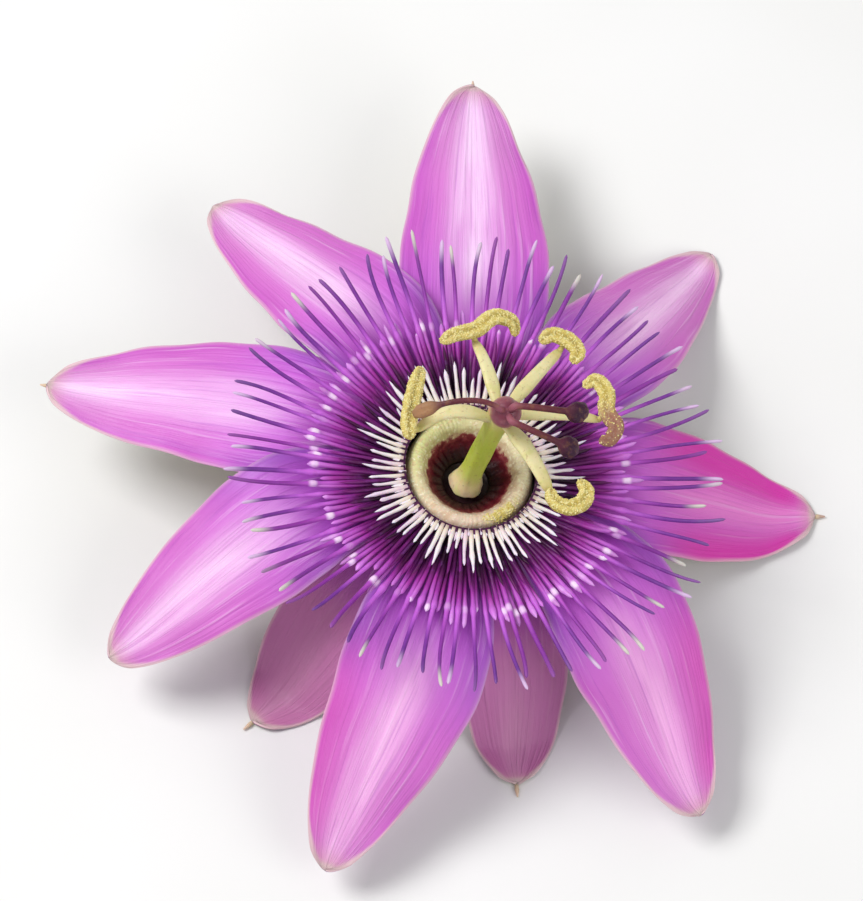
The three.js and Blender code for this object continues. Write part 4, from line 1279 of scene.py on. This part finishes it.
# ---- styles --------------------------------------------------------------------------------
# Three maroon styles that leave the top of the ovary and arch out and down. Each is grown in one
# with its stigma, a swollen, velvety, dark purple head. The left one's is small and faded to tan.
STYLE_LEVEL = 5.85
STYLE_SIDES = 20
STYLE_STEPS = 36
# how far above or below that level each of the four points that pull a style lies
STYLE_RISES = (-0.2, 0.9, 0.4, -2.2)
# length, the azimuths it curves through, and how far the head has faded
STYLES = [
    (9.8, (160, 152, 172, 186), 0.75),
    (8.3, (45, 18, 6, 4), 0.0),
    (8.3, (-60, -34, -26, -24), 0.0),
]

style_maroon, tree, shader = plant_finish("style_maroon", specular=0.3, soaking=0.05)
shade = colours_along(tree, reading(tree, "along"), [
    (0.0, (160, 92, 108)), (0.15, (112, 50, 62)), (0.6, (92, 38, 48)), (0.76, (84, 34, 52)),
    (0.84, (52, 12, 42)), (1.0, (62, 18, 52)),
])
shade = patched(tree, shade, 0.9, 0.48, 0.7, 0.45, (138, 92, 60))
shade = tinted(tree, shade, reading(tree, "faded_head"), (180, 134, 92))
shade = patched(tree, shade, mottle(tree, 0.3, 2), 0.62, 0.7, 0.3, (120, 52, 92))
lay_on(tree, shader, shade, mottle(tree, 0.5), (0.4, 0.6), mottle(tree, 0.25), 0.1)


def style_section(share, angle, fading):
    """A round stem that swells into a cleft head, smaller where it has faded."""
    head = softened(share, 0.72, 0.86) * (1 - softened(share, 0.94, 1.0) * 0.7)
    cleft = 1 - 0.3 * head * np.exp(-(((angle - np.pi / 2) / 0.4) ** 2))
    stem = (0.42 + 0.08 * (1 - softened(share, 0, 0.12))) * (1 - 0.22 * fading)
    head = head * (1 - 0.55 * fading)
    return (stem + 0.95 * head) * np.cos(angle), (stem + 0.65 * head) * cleft * np.sin(angle)


for number, (length, azimuths, fading) in enumerate(STYLES, 1):
    reaches = (1.25, 0.4 * length, 0.8 * length, length + 1.6)
    pulls = [from_axis(reach, azimuth, STYLE_LEVEL + rise)
             for reach, azimuth, rise in zip(reaches, azimuths, STYLE_RISES)]
    path = [from_axis(0.5, azimuths[0], STYLE_LEVEL - 1.0)] + arc(pulls, STYLE_STEPS)
    path = [crown_frame @ p for p in path]
    rings = swept_rings(path, style_section, STYLE_SIDES,
                        up=crown_frame.to_3x3() @ Vector((0, 0, 1)), fading=fading)
    share = np.linspace(0, 1, len(rings))[:, None] + np.zeros((1, STYLE_SIDES))
    style = plant_piece(f"style_stigma_{number}", *skin_over(rings, path[0], path[-1]), style_maroon,
                        along=share, faded_head=fading * softened(share, 0.7, 0.85))
    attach(style, "root")
    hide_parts(f"style_{number}")


# ---- floor, light and camera ---------------------------------------------------------------
# A plain pale floor, a large soft lamp to the upper left, a weaker one to the right, and a camera
# with a long lens that looks down on the flower.
FLOOR_HALF = 3
FLOOR_ROUGHNESS = 0.85
floor_mesh = bpy.data.meshes.new("floor")
floor_corners = [(x * FLOOR_HALF, y * FLOOR_HALF, 0) for x, y in ((-1, -1), (1, -1), (1, 1), (-1, 1))]
floor_mesh.from_pydata(floor_corners, [], [(0, 1, 2, 3)])
floor = placed("floor", floor_mesh)
floor_pale, tree, shader = plant_finish("floor_pale", specular=0.1)
shade = patched(tree, colour(236, 235, 233), mottle(tree, 60, 2), 0.3, 0.7, 1, (240, 239, 238))
tree.links.new(shade, shader.inputs["Base Color"])
shader.inputs["Roughness"].default_value = FLOOR_ROUGHNESS
floor_mesh.materials.append(floor_pale)

STUDIO_COLOUR = (0.96, 0.98, 1.0, 1)
STUDIO_STRENGTH = 0.42
world = bpy.data.worlds.new("studio")
world.use_nodes = True
world.node_tree.nodes["Background"].inputs["Color"].default_value = STUDIO_COLOUR
world.node_tree.nodes["Background"].inputs["Strength"].default_value = STUDIO_STRENGTH
bpy.context.scene.world = world
bpy.context.scene.view_settings.view_transform = "Standard"

TARGET = Vector((0.0005, 0.0, 0.0165))
# place, width and power of each lamp
LAMPS = [
    ("key_lamp", (-0.42, 0.12, 0.62), 0.34, 4.3),
    ("fill_lamp", (0.5, -0.35, 0.5), 0.5, 1.9),
]
for name, place, width, power in LAMPS:
    lamp = bpy.data.lights.new(name, "AREA")
    lamp.size = width
    lamp.energy = power
    stand = placed(name, lamp)
    stand.location = place
    stand.rotation_euler = (TARGET - Vector(place)).to_track_quat("-Z", "Y").to_euler()

CAMERA_ELEVATION = math.radians(66)
CAMERA_DISTANCE = 0.62
CAMERA_LENS = 194
lens = bpy.data.cameras.new("camera")
lens.lens = CAMERA_LENS
camera = placed("camera", lens)
back = Vector((0, -math.cos(CAMERA_ELEVATION), math.sin(CAMERA_ELEVATION)))
camera.location = TARGET + back * CAMERA_DISTANCE
camera.rotation_euler = (-back).to_track_quat("-Z", "Y").to_euler()
bpy.context.scene.camera = camera
